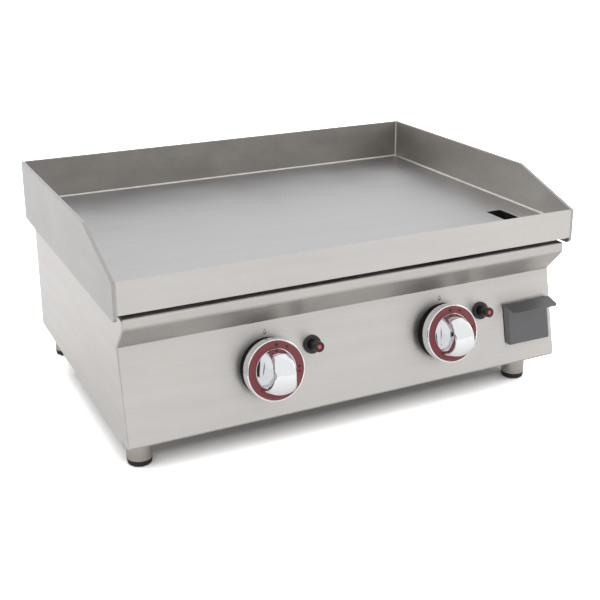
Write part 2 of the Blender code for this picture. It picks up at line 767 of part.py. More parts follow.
# ---------------------------------------------------------------- controls
def igniter(side):
    """A piezo igniter: flanged barrel through the panel, its nut, the push button and its red insert."""
    x = KNOB_X[side] + IGNITER_OFFSET
    flange = 0.0042
    bore = BUTTON_RADIUS + GAP
    barrel = [
        (0, -0.045),
        (IGNITER_BARREL_RADIUS, -0.045),
        (IGNITER_BARREL_RADIUS, GAP),
        (IGNITER_FLANGE_RADIUS, GAP),
        (IGNITER_FLANGE_RADIUS, flange - 0.0012),
        (IGNITER_FLANGE_RADIUS - 0.0012, flange),
        (bore, flange),
        (bore, -0.020),
        (0, -0.020),
    ]
    place_on_panel(f"piezo_igniter_{side}", turned(barrel), BLACK, x, IGNITER_UP)
    nut = prism(hexagon(0.024), -0.0050, -SHEET - GAP, "Z")
    nut = place_on_panel(f"igniter_nut_{side}", nut, BLACK, x, IGNITER_UP)
    nut_bore = cylinder(IGNITER_BARREL_RADIUS + GAP, -0.02, 0.02)
    combine(nut, "DIFFERENCE", place_on_panel("nut_bore", nut_bore, BLACK, x, IGNITER_UP))
    recess = 0.0041
    button = [
        (0, -0.011),
        (BUTTON_RADIUS, -0.011),
        (BUTTON_RADIUS, BUTTON_REACH - 0.0010),
        (BUTTON_RADIUS - 0.0010, BUTTON_REACH),
        (recess, BUTTON_REACH),
        (recess, BUTTON_REACH - 0.0015),
        (0, BUTTON_REACH - 0.0015),
    ]
    place_on_panel(f"igniter_button_{side}", turned(button), BLACK, x, IGNITER_UP)
    insert = cylinder(recess - GAP, BUTTON_REACH - 0.0015 + GAP, BUTTON_REACH - 0.0004)
    place_on_panel(f"igniter_insert_{side}", insert, INSERT_RED, x, IGNITER_UP)


def knob_bezel(side):
    """The black collar on the panel that the knob's skirt slides over."""
    outer = 0.0407
    inner = 0.0340
    height = 0.0165
    collar = [(inner, GAP), (outer, GAP), (outer, height - 0.001), (outer - 0.001, height), (inner, height)]
    place_on_panel(f"knob_bezel_{side}", turned(collar, KNOB_SEGMENTS), BLACK, KNOB_X[side], KNOB_UP)


def knob_profile():
    """The turned part of the knob: boss, web, skirt, rim, the dial ring's seat and the dished middle."""
    seat = DIAL_RADII[0] - GAP, DIAL_RADII[1] + GAP
    skirt = 0.0012
    boss_radius = 0.0090
    boss_back = 0.0045
    hub_back = 0.0180
    web_back = 0.0215  # clears the collar when the knob is pushed in
    return [
        (0, boss_back),
        (boss_radius, boss_back),
        (boss_radius, hub_back),
        (0.0310, hub_back),
        (0.0330, web_back),
        (KNOB_RADIUS - skirt, web_back),
        (KNOB_RADIUS - skirt, 0.0140),
        (KNOB_RADIUS, 0.0140),
        (KNOB_RADIUS, KNOB_RIM - 0.0012),
        (KNOB_RADIUS - 0.0010, KNOB_RIM),
        (seat[1] + 0.0004, KNOB_RIM),
        (seat[1], KNOB_RIM - 0.0021),
        (seat[0], KNOB_RIM - 0.0021),
        (seat[0] - 0.0003, KNOB_RIM - 0.0003),
        (seat[0] - 0.0010, KNOB_RIM - 0.0003),
        (0.0264, 0.0243),
        (0.0235, 0.0222),
        (0.0180, 0.0210),
        (0, 0.0205),
    ]


def grip_outline():
    """The (up, out) outline of the grip along its middle: leaning ends under an arched crown."""
    crown_middle = (CROWN_ENDS[0] + CROWN_ENDS[1]) / 2
    half_chord = (CROWN_ENDS[1] - CROWN_ENDS[0]) / 2
    sagitta = KNOB_REACH - CROWN_END_OUT
    crown_radius = (half_chord ** 2 + sagitta ** 2) / (2 * sagitta)
    root_up, root_out = 0.0284, 0.0195
    undercut_out = KNOB_RIM + 0.0006
    overhang_out = KNOB_RIM + 0.0016
    crown_steps = 12
    outline = [(-root_up, root_out), (-root_up, undercut_out), (GRIP_ENDS[0], overhang_out)]
    for i in range(crown_steps + 1):
        along = half_chord * (2 * i / crown_steps - 1)
        out = KNOB_REACH - crown_radius + math.sqrt(crown_radius ** 2 - along ** 2)
        outline.append((crown_middle + along, out))
    outline += [(GRIP_ENDS[1], overhang_out), (root_up, undercut_out), (root_up, root_out)]
    return outline


def grip_bar():
    """The arched bar across the knob: narrow at its upper end, flared at its lower end, with bowed ends."""
    waist, crown_flare = 0.0136, 0.0022
    low_flare, high_taper = 0.0078, 0.0012
    end_bow = 0.10
    root_out = grip_outline()[0][1]

    def half_width(up, out):
        height = (out - root_out) / (KNOB_REACH - root_out)
        low = max(0.0, up / GRIP_ENDS[0])
        high = max(0.0, up / GRIP_ENDS[1])
        return waist + crown_flare * height + low_flare * low ** 2 - high_taper * high ** 2

    rings = []
    for across in (-1.0, -0.8, -0.5, 0.0, 0.5, 0.8, 1.0):
        shorten = 1 - end_bow * across ** 4
        rings.append([(across * half_width(up, out), up * shorten, out) for up, out in grip_outline()])
    return loft(rings)


def knob(side):
    """The knob with its grip and blind bore, its red dial ring, and the spindle and plunger behind it."""
    x = KNOB_X[side]
    body = place_on_panel(f"knob_{side}", turned(knob_profile(), KNOB_SEGMENTS), CHROME, x, KNOB_UP)
    grip = place_on_panel("grip", grip_bar(), CHROME, x, KNOB_UP)
    inside = DIAL_RADII[0] - 0.0009
    above = KNOB_RIM + 0.0004
    dial_space = [(inside, 0.0200), (0.0450, 0.0200), (0.0450, above), (inside, above)]
    dial_space = place_on_panel("dial_space", turned(dial_space, KNOB_SEGMENTS), CHROME, x, KNOB_UP)
    combine(grip, "DIFFERENCE", dial_space)
    combine(body, "UNION", grip)
    bore = cylinder(SPINDLE_RADIUS + GAP, -0.01, 0.045)
    combine(body, "DIFFERENCE", place_on_panel("bore", bore, CHROME, x, KNOB_UP))

    inner, outer = DIAL_RADII
    low, high = KNOB_RIM - 0.0021 + GAP, KNOB_RIM - 0.0003
    ring = turned([(inner, low), (outer, low), (outer, high), (inner, high)], KNOB_SEGMENTS)
    place_on_panel(f"knob_dial_{side}", ring, DIAL_RED, x, KNOB_UP)

    spindle = cylinder(SPINDLE_RADIUS, -0.0215, 0.0445)
    place_on_panel(f"tap_spindle_{side}", spindle, STEEL, x, KNOB_UP)
    plunger = cylinder(SPINDLE_RADIUS, -0.0425, -0.0215 - GAP)
    place_on_panel(f"tap_plunger_{side}", plunger, BRASS, x, KNOB_UP)


# ---------------------------------------------------------------- grease drawer
def drawer_front():
    """The drawer's front: its sides fold back, and a grip folds forward and down from its top edge."""
    left, right = DRAWER_X
    low, high = DRAWER_UP
    edge_out = 0.0015
    fold = DRAWER_PROUD - edge_out
    face = [(left, edge_out), (left + fold, DRAWER_PROUD), (right - fold, DRAWER_PROUD), (right, edge_out)]
    outline = folded_outline(face, [0.0018, 0.0018], SHEET)
    front = place_on_panel("drawer_front", prism(outline, low, high, "Y"), DARK_STEEL, 0.0, 0.0)
    chamfer = 0.005
    cutters = []
    for edge, inward in ((left, 1), (right, -1)):
        corner = [(edge - 0.001 * inward, low - 0.001), (edge + chamfer * inward, low - 0.001),
                  (edge - 0.001 * inward, low + chamfer)]
        cutters.append(place_on_panel("chamfer", prism(corner, -0.01, 0.02, "Z"), DARK_STEEL, 0.0, 0.0))
    combine(front, "DIFFERENCE", *cutters)

    grip_out, grip_drop = 0.0285, 0.0115
    line = [(high - 0.004, DRAWER_PROUD - SHEET), (high, DRAWER_PROUD - SHEET), (high - grip_drop, grip_out)]
    profile = folded_outline(line, [0.0017], SHEET)
    grip = place_on_panel("grip", prism(profile, left, right), DARK_STEEL, 0.0, 0.0)
    round_tip = 0.005
    trims = []
    for edge, inward in ((left, 1), (right, -1)):
        steps = 5
        arc = []
        for i in range(steps + 1):
            angle = math.pi / 2 * i / steps
            from_edge = round_tip * (1 - math.sin(angle))
            from_tip = round_tip * (1 - math.cos(angle))
            arc.append((edge + inward * from_edge, grip_out - from_tip))
        corner = [(edge - inward * 0.001, grip_out + 0.003), (arc[0][0], grip_out + 0.003)] + arc
        corner.append((edge - inward * 0.001, arc[-1][1]))
        trim = prism(corner, high - 0.03, high + 0.01, "Y")
        trims.append(place_on_panel("trim", trim, DARK_STEEL, 0.0, 0.0))
    combine(grip, "DIFFERENCE", *trims)
    combine(front, "UNION", grip)


def grease_drawer():
    """The open tray behind the drawer's front. Its front wall leans with the panel and has cut corners."""
    x0, x1 = TRAY_X
    z0, z1 = TRAY_Z
    wall = TRAY_WALL
    front_out = DRAWER_PROUD - SHEET - GAP

    def front_y(z, inset):
        """The y of the tray's front wall at height z, `inset` behind its outer face."""
        up = (z - CASE_BOTTOM + (front_out - inset) * -math.sin(PANEL_LEAN)) / math.cos(PANEL_LEAN)
        return panel_point(0.0, up, front_out - inset).y

    def ring(inset, z):
        low_x, high_x, back = x0 + inset, x1 - inset, TRAY_BACK_Y - inset
        cut = 0.004 - 0.6 * inset
        front, shoulder = front_y(z, inset), front_y(z, inset + cut)
        return [
            (low_x, shoulder, z),
            (low_x + cut, front, z),
            (high_x - cut, front, z),
            (high_x, shoulder, z),
            (high_x, back, z),
            (low_x, back, z),
        ]

    rings = [ring(0, z0), ring(0, z1), ring(wall, z1), ring(wall, z0 + wall)]
    place("grease_drawer", loft(rings), DARK_STEEL)


def drawer_guide(side):
    """A rail beside the tray, standing on the base pan, with a ledge that the tray slides on."""
    web_face = TRAY_X[0] - 0.0055 if side == "left" else TRAY_X[1] + 0.0055
    inward = -SIDE_SIGN[side]
    floor = BASE_Z + SHEET + GAP
    ledge = TRAY_Z[0] - GAP
    web_top = 0.110
    ledge_width = 0.012
    foot_width = 0.014
    line = [
        (0.0, floor),
        (foot_width, floor),
        (foot_width, floor + SHEET),
        (SHEET, floor + SHEET),
        (SHEET, ledge - SHEET),
        (ledge_width, ledge - SHEET),
        (ledge_width, ledge),
        (SHEET, ledge),
        (SHEET, web_top),
        (0.0, web_top),
    ]
    outline = [(web_face + inward * a, z) for a, z in line]
    place(f"drawer_guide_{side}", prism(outline, -0.205, TRAY_BACK_Y + 0.020, "Y"), STEEL)


# ---------------------------------------------------------------- feet
def feet():
    """Four feet: a stainless sleeve whose stud screws into the base pan, standing on a black sole."""
    wall = 0.0017
    sleeve_low = SOLE_HEIGHT + GAP
    sleeve_top = BASE_Z - GAP
    sleeve = [
        (0, sleeve_top - 0.004),
        (FOOT_RADIUS - wall, sleeve_top - 0.004),
        (FOOT_RADIUS - wall, sleeve_low),
        (FOOT_RADIUS, sleeve_low),
        (FOOT_RADIUS, sleeve_top - 0.0008),
        (FOOT_RADIUS - 0.0008, sleeve_top),
        (STUD_RADIUS, sleeve_top),
        (STUD_RADIUS, 0.0745),
        (STUD_RADIUS - 0.0008, 0.0755),
        (0, 0.0755),
    ]
    plug_radius = FOOT_RADIUS - wall - GAP
    sole = [
        (0, 0),
        (FOOT_RADIUS - 0.0020, 0),
        (FOOT_RADIUS - 0.0008, 0.0012),
        (FOOT_RADIUS, 0.0040),
        (FOOT_RADIUS, SOLE_HEIGHT),
        (plug_radius, SOLE_HEIGHT),
        (plug_radius, 0.022),
        (0, 0.022),
    ]
    sleeve_mesh = None
    sole_mesh = None
    for end, y in FOOT_Y.items():
        for side, sign in SIDE_SIGN.items():
            at = (sign * FOOT_X, y, 0.0)
            if sleeve_mesh is None:
                sleeve_mesh = place(f"foot_sleeve_{end}_{side}", turned(sleeve), FOOT_STEEL, at).data
                sole_mesh = place(f"foot_sole_{end}_{side}", turned(sole), RUBBER, at).data
                continue
            for part, mesh in (("sleeve", sleeve_mesh), ("sole", sole_mesh)):
                copy = bpy.data.objects.new(f"foot_{part}_{end}_{side}", mesh)
                copy.location = at
                bpy.context.scene.collection.objects.link(copy)


# ---------------------------------------------------------------- build
def build():
    griddle_plate()
    back_guard()
    front_lip()
    drain_chute()
    front_panel()
    rear_panel()
    base_pan()
    heat_shield()
    manifold()
    inlet_pipe()
    burner_rail("burner_rail_front", -0.112)
    burner_rail("burner_rail_rear", 0.150)
    for side in SIDE_SIGN:
        side_guard(side)
        side_panel(side)
        gas_tap(side)
        burner(side)
        flame_sensing(side)
        igniter(side)
        knob_bezel(side)
        knob(side)
        drawer_guide(side)
    grease_drawer()
    drawer_front()
    feet()


build()
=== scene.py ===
"""The finished look of a counter-top gas griddle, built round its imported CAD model.

Everything is in metres in the CAD frame: +X is to the cook's right, -Y is the front, +Z is up. CAD pieces
whose shape is final only get a better material. A finer piece on the same body replaces each other one.
"""

import json
import random
from math import cos, pi, radians, sin, sqrt, tan

import bmesh
import bpy
from mathutils import Matrix, Vector

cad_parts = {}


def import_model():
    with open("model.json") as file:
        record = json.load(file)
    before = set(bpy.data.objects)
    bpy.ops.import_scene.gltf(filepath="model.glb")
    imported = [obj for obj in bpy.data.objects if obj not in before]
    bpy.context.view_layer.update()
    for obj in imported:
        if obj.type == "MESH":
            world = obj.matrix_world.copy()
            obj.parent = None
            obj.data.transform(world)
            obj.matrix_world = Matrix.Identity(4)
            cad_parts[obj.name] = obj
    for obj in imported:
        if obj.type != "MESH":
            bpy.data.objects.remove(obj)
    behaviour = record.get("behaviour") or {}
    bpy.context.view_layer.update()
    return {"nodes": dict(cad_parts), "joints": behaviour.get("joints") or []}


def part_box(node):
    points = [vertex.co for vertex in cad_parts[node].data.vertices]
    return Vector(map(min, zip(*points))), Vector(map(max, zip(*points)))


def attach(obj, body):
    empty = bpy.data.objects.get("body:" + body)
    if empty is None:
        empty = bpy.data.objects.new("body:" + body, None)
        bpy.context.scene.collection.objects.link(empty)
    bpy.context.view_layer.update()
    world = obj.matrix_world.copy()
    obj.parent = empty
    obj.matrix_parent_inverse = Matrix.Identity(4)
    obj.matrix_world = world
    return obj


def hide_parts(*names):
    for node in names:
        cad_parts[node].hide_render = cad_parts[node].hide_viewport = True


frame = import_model()

# ---------------- dimensions the CAD's boxes don't give
SHEET = 0.0015
GAP = 0.0003  # clearance between pieces that touch
CREASE_Z = 0.184  # the fold between the leaning face and the undercut
NOSE_LOW_Z = 0.2188  # the fold between the undercut and the nose
CORNER_RADIUS = 0.003
GUARD_SLOPE_START_Y = -0.125
WELD_LEG = 0.0018
KNOB_RIM = 0.0284
DIAL_RADII = (0.0294, 0.0397)
KNOB_REACH = 0.0597
GRIP_ENDS = (-0.0345, 0.0292)  # how far down and up the knob's face the grip reaches
CROWN_ENDS = (-0.0295, 0.0256)  # where its leaning ends meet its arched crown
CROWN_END_OUT = 0.0460
KNOB_TURNED = {"left": -5.5, "right": 2.5}  # degrees each knob stands off upright, seen from the front
SIDE_SIGN = {"left": -1, "right": 1}

BODY = "griddle"

# The control panel's own axes: X to the right, Y up the leaning face, Z out of it.
knob_turn = next(joint for joint in frame["joints"] if joint["name"] == "left_knob_turn")
FACE_OUT = Vector(knob_turn["axis"]).normalized()
FACE_UP = FACE_OUT.cross(Vector((1, 0, 0)))
FACE_POINT = Vector(knob_turn["pos_m"])
FACE_TURN = Matrix((Vector((1, 0, 0)), FACE_UP, FACE_OUT)).transposed().to_4x4()


def face_frame(x=0.0, up=0.0):
    """The panel's axes, moved along the face from the point below x = 0 at the knobs' height."""
    origin = Vector((0.0, FACE_POINT.y, FACE_POINT.z))
    return Matrix.Translation(origin) @ FACE_TURN @ Matrix.Translation((x, up, 0.0))


FACE = face_frame()


def face_box(node):
    """A CAD node's lowest and highest corners along the panel's own axes."""
    to_face = FACE.inverted()
    points = [to_face @ vertex.co for vertex in frame["nodes"][node].data.vertices]
    low = Vector([min(p[k] for p in points) for k in range(3)])
    high = Vector([max(p[k] for p in points) for k in range(3)])
    return low, high


def face_frame_at(node, above=0.0):
    """The panel's axes, with their origin on the face behind a node's centre or `above` it."""
    low, high = face_box(node)
    centre = (low + high) / 2
    return face_frame(centre.x, centre.y + above)


def frame_behind(x, y, z):
    """A frame at a point, with its Z axis pointing out of the griddle's back."""
    return Matrix.Translation((x, y, z)) @ Matrix.Rotation(-pi / 2, 4, "X")


# ---------------- materials
class Nodes:
    """Adds and joins the nodes of one tree."""

    def __init__(self, tree):
        self.tree = tree

    def node(self, kind, **inputs):
        added = self.tree.nodes.new("ShaderNode" + kind)
        self.fill(added, inputs)
        return added

    def fill(self, node, inputs):
        """Give a node its inputs, named with _ for spaces, each a value or another node's socket."""
        for name, value in inputs.items():
            self.put(node.inputs[name.replace("_", " ")], value)

    def put(self, socket, value):
        if isinstance(value, bpy.types.NodeSocket):
            self.tree.links.new(value, socket)
        else:
            socket.default_value = value

    def operate(self, kind, operation, first, second):
        """A node that works out one operation on two inputs."""
        added = self.node(kind)
        added.operation = operation
        self.put(added.inputs[0], first)
        self.put(added.inputs[1], second)
        return added

    def math(self, operation, first, second=0.0):
        return self.operate("Math", operation, first, second).outputs["Value"]

    def times(self, first, second):
        return self.math("MULTIPLY", first, second)

    def vector_math(self, operation, first, second):
        return self.operate("VectorMath", operation, first, second).outputs["Vector"]

    def dot(self, first, second):
        return self.operate("VectorMath", "DOT_PRODUCT", first, second).outputs["Value"]

    def spread(self, value, low, high, start=0.3, end=0.7):
        """Map a noise value from start..end to low..high."""
        ranged = self.node("MapRange", Value=value, From_Min=start, From_Max=end, To_Min=low, To_Max=high)
        return ranged.outputs["Result"]


class Shader(Nodes):
    """The nodes of one new material."""

    def __init__(self, name):
        self.material = bpy.data.materials.new(name)
        self.material.use_nodes = True
        super().__init__(self.material.node_tree)
        self.surface = self.tree.nodes["Principled BSDF"]

    def set(self, **inputs):
        self.fill(self.surface, inputs)

    def position(self, stretch=(1, 1, 1)):
        """Object coordinates in metres, stretched along each axis."""
        here = self.node("TexCoord").outputs["Object"]
        return self.node("Mapping", Vector=here, Scale=stretch).outputs["Vector"]

    def normal(self):
        return self.node("NewGeometry").outputs["Normal"]

    def noise(self, vector, scale, detail=3.0, roughness=0.5):
        """A noise value of about 0 to 1."""
        texture = self.node("TexNoise", Vector=vector, Scale=scale, Detail=detail, Roughness=roughness)
        return texture.outputs["Fac"]

    def tint(self, colour, brightness):
        """The colour times a brightness socket."""
        return self.vector_math("MULTIPLY", colour, brightness)

    def blend(self, share, first, second):
        """The first colour, or the second where share is 1."""
        mixed = self.node("Mix")
        mixed.data_type = "RGBA"
        factor, first_colour, second_colour = (mixed.inputs[i] for i in (0, 6, 7))
        self.put(factor, share)
        self.put(first_colour, first)
        self.put(second_colour, second)
        return mixed.outputs[2]

    def edge_mask(self, radius):
        """0 on flat ground, rising to 1 on edges."""
        bevel = self.node("Bevel", Radius=radius)
        bevel.samples = 4
        return self.spread(self.dot(bevel.outputs["Normal"], self.normal()), 1.0, 0.0, 0.75, 0.99)

    def bump(self, height, distance, strength):
        return self.node("Bump", Height=height, Distance=distance, Strength=strength).outputs["Normal"]


def brushed(name, colour, grain="X", roughness=0.34, anisotropy=0.6, streaks=0.05, clouds=0.06,
            painted_side=None, painted_colour=None, dulled=0.0):
    """Brushed steel: fine grain along one axis, faint smudges, and highlights drawn out across the grain.

    Faces turned towards one given side get painted light and shade: another colour, cloudy, and rougher by
    `dulled`.
    """
    shader = Shader(name)
    grain_depth, edge_radius = 0.00004, 0.0012
    along = {"X": (1, 0, 0), "Y": (0, 1, 0), "Z": (0, 0, 1)}[grain]
    fine = shader.noise(shader.position([1.0 if a else 40.0 for a in along]), 60.0, 4.0, 0.6)
    wide = shader.noise(shader.position([1.0 if a else 9.0 for a in along]), 6.0, 3.0)
    smudge = shader.noise(shader.position(), 7.0, 4.0, 0.6)
    brightness = shader.times(shader.spread(fine, 1 - streaks, 1 + streaks),
                              shader.spread(wide, 1 - streaks * 0.6, 1 + streaks * 0.6))
    brightness = shader.times(brightness, shader.spread(smudge, 1 - clouds * 0.5, 1 + clouds * 0.5))
    rough = shader.math("ADD", shader.spread(fine, roughness - 0.04, roughness + 0.04),
                        shader.spread(smudge, -clouds * 0.8, clouds * 0.8))
    # Painted highlight on edges: the base colour up to 10% lighter there, and the roughness a little lower.
    edge_highlight = shader.edge_mask(edge_radius)
    brightness = shader.times(brightness, shader.spread(edge_highlight, 1.0, 1.10, 0.0, 1.0))
    rough = shader.math("SUBTRACT", rough, shader.times(edge_highlight, 0.05))
    normal = shader.normal()
    base = shader.tint(colour, brightness)
    # Painted light and shade: faces turned to the given side take a colour of their own, set apart from the
    # rest of the piece; a blotchy noise varies it and the roughness there.
    if painted_side:
        inside = shader.spread(shader.dot(normal, painted_side), 0.0, 1.0, 0.66, 0.97)
        grease = shader.noise(shader.position((1, 1, 1.6)), 11.0, 5.0, 0.62)
        film = shader.times(brightness, shader.spread(grease, 0.90, 1.08))
        base = shader.blend(inside, base, shader.tint(painted_colour, film))
        more = shader.spread(grease, dulled + 0.04, dulled - 0.04)
        rough = shader.math("ADD", rough, shader.times(inside, more))
    shader.set(
        Base_Color=base,
        Metallic=1.0,
        Roughness=rough,
        Anisotropic=anisotropy,
        Tangent=shader.vector_math("CROSS_PRODUCT", normal, along),
        Normal=shader.bump(fine, grain_depth, 0.6),
    )
    return shader.material


def turned_steel(name, colour, roughness=0.3):
    """Steel turned on a lathe about its object's vertical axis: rings of fine grain."""
    shader = Shader(name)
    rings = shader.noise(shader.position((2, 2, 400)), 8.0, 3.0, 0.6)
    smudge = shader.noise(shader.position(), 60.0, 3.0)
    shader.set(
        Base_Color=shader.tint(colour, shader.spread(rings, 0.93, 1.05)),
        Metallic=1.0,
        Roughness=shader.math("ADD", shader.spread(rings, roughness - 0.05, roughness + 0.05),
                              shader.spread(smudge, -0.03, 0.03)),
        Anisotropic=0.4,
        Tangent=shader.node("CombineXYZ", Z=1.0).outputs["Vector"],
        Normal=shader.bump(rings, 0.00004, 0.5),
    )
    return shader.material


def speckled(name, colour, roughness, shade, patch, grain, depth, metallic=0.0, shine=0.5):
    """A finish that varies in patches, over a fine bumpy grain.

    `roughness` and `shade` are the values from one patch to the next, `patch` and `grain` the settings of
    their noise, and `depth` how deep and how strong the grain is.
    """
    shader = Shader(name)
    patches = shader.noise(shader.position(), *patch)
    fine = shader.noise(shader.position(), *grain)
    shader.set(
        Base_Color=shader.tint(colour, shader.spread(patches, *shade)),
        Metallic=metallic,
        Roughness=shader.spread(patches, *roughness),
        Specular_IOR_Level=shine,
        Normal=shader.bump(fine, *depth),
    )
    return shader.material


def moulded(name, colour, roughness=0.42, grain=2200.0, depth=0.00002, mottle=0.08, shine=0.5):
    """Moulded plastic or rubber with slight mottling."""
    return speckled(name, colour, (roughness - 0.05, roughness + 0.06), (1 - mottle, 1 + mottle),
                    (120.0, 3.0), (grain, 2.0), (depth, 0.5), shine=shine)


def cast_metal(name, colour, roughness=0.45, mottle=0.15, scale=180.0):
    """Cast or drawn metal with an uneven, slightly tarnished skin."""
    return speckled(name, colour, (roughness - 0.08, roughness + 0.10), (1 - mottle, 1 + mottle),
                    (scale, 4.0, 0.6), (1500.0, 2.0), (0.00003, 0.5), metallic=1.0)


STAINLESS = (0.590, 0.570, 0.550)
GUARD_STEEL = (0.410, 0.400, 0.396)
# Painted shade on the back guard's face toward the cook and in the panel's undercut fold, and a lighter
# painted tone on the side guards' inner faces, each set against the steel of the rest of the piece.
BACK_GUARD_PAINTED_SHADE = (0.342, 0.322, 0.300)
SIDE_GUARD_PAINTED_LIGHT = (0.520, 0.490, 0.458)
SHADED_FOLD = (0.440, 0.420, 0.400)
MATERIALS = {
    "plate": brushed("ground_plate", (0.525, 0.525, 0.535), "X", 0.40, 0.5, 0.035, 0.05),
    "guard_back": brushed("guard_back_steel", GUARD_STEEL, "X", painted_side=(0, -1, 0),
                          painted_colour=BACK_GUARD_PAINTED_SHADE, dulled=0.22),
    "guard_left": brushed("guard_left_steel", GUARD_STEEL, "Y", painted_side=(1, 0, 0),
                          painted_colour=SIDE_GUARD_PAINTED_LIGHT, dulled=0.08),
    "guard_right": brushed("guard_right_steel", GUARD_STEEL, "Y", painted_side=(-1, 0, 0),
                           painted_colour=SIDE_GUARD_PAINTED_LIGHT, dulled=0.08),
    "panel": brushed("panel_steel", STAINLESS, "X", 0.40, painted_side=(0, -0.74, -0.67),
                     painted_colour=SHADED_FOLD, dulled=0.05),
    "steel_x": brushed("stainless_grain_x", STAINLESS, "X", 0.40),
    "steel_y": brushed("stainless_grain_y", STAINLESS, "Y"),
    "steel_z": brushed("stainless_grain_z", STAINLESS, "Z"),
    "drawer": brushed("drawer_steel", (0.152, 0.152, 0.157), "X", 0.38, 0.4, 0.04, 0.08),
    "foot": turned_steel("foot_stainless", (0.425, 0.393, 0.357), 0.22),
    "chrome": speckled("chrome_plate", (0.83, 0.835, 0.85), (0.03, 0.07), (0.97, 1.0),
                       (260.0, 3.0), (90.0, 2.0), (0.00018, 0.4), metallic=1.0),
    "dial": moulded("dial_red", (0.20, 0.034, 0.038), 0.42, 900.0, 0.00001, 0.05),
    "insert": moulded("insert_red", (0.62, 0.070, 0.055), 0.35),
    "black": moulded("black_plastic", (0.010, 0.010, 0.011), 0.36),
    "collar": moulded("collar_black", (0.004, 0.004, 0.004), 0.60, shine=0.12),
    "print": moulded("print_black", (0.015, 0.014, 0.014), 0.5),
    "print_grey": moulded("print_grey", (0.11, 0.105, 0.10), 0.5),
    "rubber": moulded("black_rubber", (0.010, 0.010, 0.010), 0.62, 1400.0, 0.00004),
    "brass": cast_metal("brass", (0.62, 0.45, 0.20)),
    "burner": cast_metal("burner_steel", (0.42, 0.39, 0.35), 0.5, 0.25, 60.0),
    "burnt": moulded("burnt_grease", (0.012, 0.010, 0.009), 0.5, 700.0, 0.0001, 0.4),
    "chute": cast_metal("chute_steel", (0.10, 0.092, 0.085), 0.5, 0.3, 90.0),
    "ceramic": moulded("ceramic_glaze", (0.80, 0.78, 0.72), 0.25),
    "weld": speckled("weld_bead", (0.78, 0.75, 0.715), (0.42, 0.55), (0.82, 1.05),
                     (45.0, 3.0), (420.0, 3.0, 0.6), (0.00012, 0.6), metallic=0.85),
}


# ---------------- shape helpers
def add(name, data):
    """Put a new object in the scene."""
    obj = bpy.data.objects.new(name, data)
    bpy.context.scene.collection.objects.link(obj)
    return obj


def place(shape, matrix=None, name="tool"):
    """Turn a bmesh into an object of the scene."""
    bmesh.ops.remove_doubles(shape, verts=shape.verts, dist=1e-6)
    bmesh.ops.recalc_face_normals(shape, faces=shape.faces)
    mesh = bpy.data.meshes.new(name)
    shape.to_mesh(mesh)
    shape.free()
    obj = add(name, mesh)
    obj.matrix_world = matrix or Matrix.Identity(4)
    return obj


def bake(obj):
    """Replace the object's mesh with its evaluated one."""
    bpy.context.view_layer.update()
    depsgraph = bpy.context.evaluated_depsgraph_get()
    mesh = bpy.data.meshes.new_from_object(obj.evaluated_get(depsgraph))
    obj.modifiers.clear()
    obj.data = mesh


def combine(obj, operation, *tools):
    """Apply a Boolean of obj with each tool in turn, and remove the tools."""
    for tool in tools:
        boolean = obj.modifiers.new(operation.lower(), "BOOLEAN")
        boolean.operation = operation
        boolean.solver = "EXACT"
        boolean.object = tool
    bake(obj)
    for tool in tools:
        bpy.data.objects.remove(tool)


def soften(obj, width, segments=3):
    """Round the object's sharp edges."""
    bevel = obj.modifiers.new("soften", "BEVEL")
    bevel.width = width
    bevel.segments = segments
    bevel.limit_method = "ANGLE"
    bevel.angle_limit = radians(40)
    bake(obj)


def finish(obj, name, material, body=BODY, node=None, sharp_angle=38):
    """Name, shade and paint a piece that rides on a body, in place of a CAD node if one is given."""
    obj.name = name
    obj.data.transform(obj.matrix_world)
    obj.matrix_world = Matrix.Identity(4)
    obj.data.materials.clear()
    obj.data.materials.append(MATERIALS[material])
    obj.data.shade_smooth()
    obj.data.set_sharp_from_angle(angle=radians(sharp_angle))
    weighted = obj.modifiers.new("weighted", "WEIGHTED_NORMAL")
    weighted.keep_sharp = True
    weighted.weight = 100
    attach(obj, body)
    if node:
        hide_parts(node)


def boxes(corner_pairs):
    """Separate boxes in one shape."""
    shape = bmesh.new()
    for low, high in corner_pairs:
        size = Vector(high) - Vector(low)
        middle = Matrix.Translation((Vector(high) + Vector(low)) / 2)
        bmesh.ops.create_cube(shape, size=1.0, matrix=middle @ Matrix.Diagonal((*size, 1.0)))
    return shape


def box(low, high):
    return boxes([(low, high)])


def prism(outline, low, high, axis="X", shape=None):
    """An outline extruded along an axis: (y, z) pairs along X, (x, z) along Y or (x, y) along Z."""
    def corner(a, b, along):
        return {"X": (along, a, b), "Y": (a, along, b), "Z": (a, b, along)}[axis]

    if shape is None:
        shape = bmesh.new()
    start = [shape.verts.new(corner(a, b, low)) for a, b in outline]
    end = [shape.verts.new(corner(a, b, high)) for a, b in outline]
    shape.faces.new(start)
    shape.faces.new(end)
    for i in range(len(outline)):
        j = (i + 1) % len(outline)
        shape.faces.new((start[i], start[j], end[j], end[i]))
    return shape


def loft(rings, closed=False):
    """Skin a list of equal rings of points. A closed loft joins its last ring to its first."""
    shape = bmesh.new()
    levels = [[shape.verts.new(point) for point in ring] for ring in rings]
    count = len(levels[0])
    pairs = list(zip(levels, levels[1:]))
    if closed:
        pairs.append((levels[-1], levels[0]))
    for lower, upper in pairs:
        for i in range(count):
            j = (i + 1) % count
            shape.faces.new((lower[i], lower[j], upper[j], upper[i]))
    if not closed:
        shape.faces.new(levels[0])
        shape.faces.new(levels[-1])
    return shape


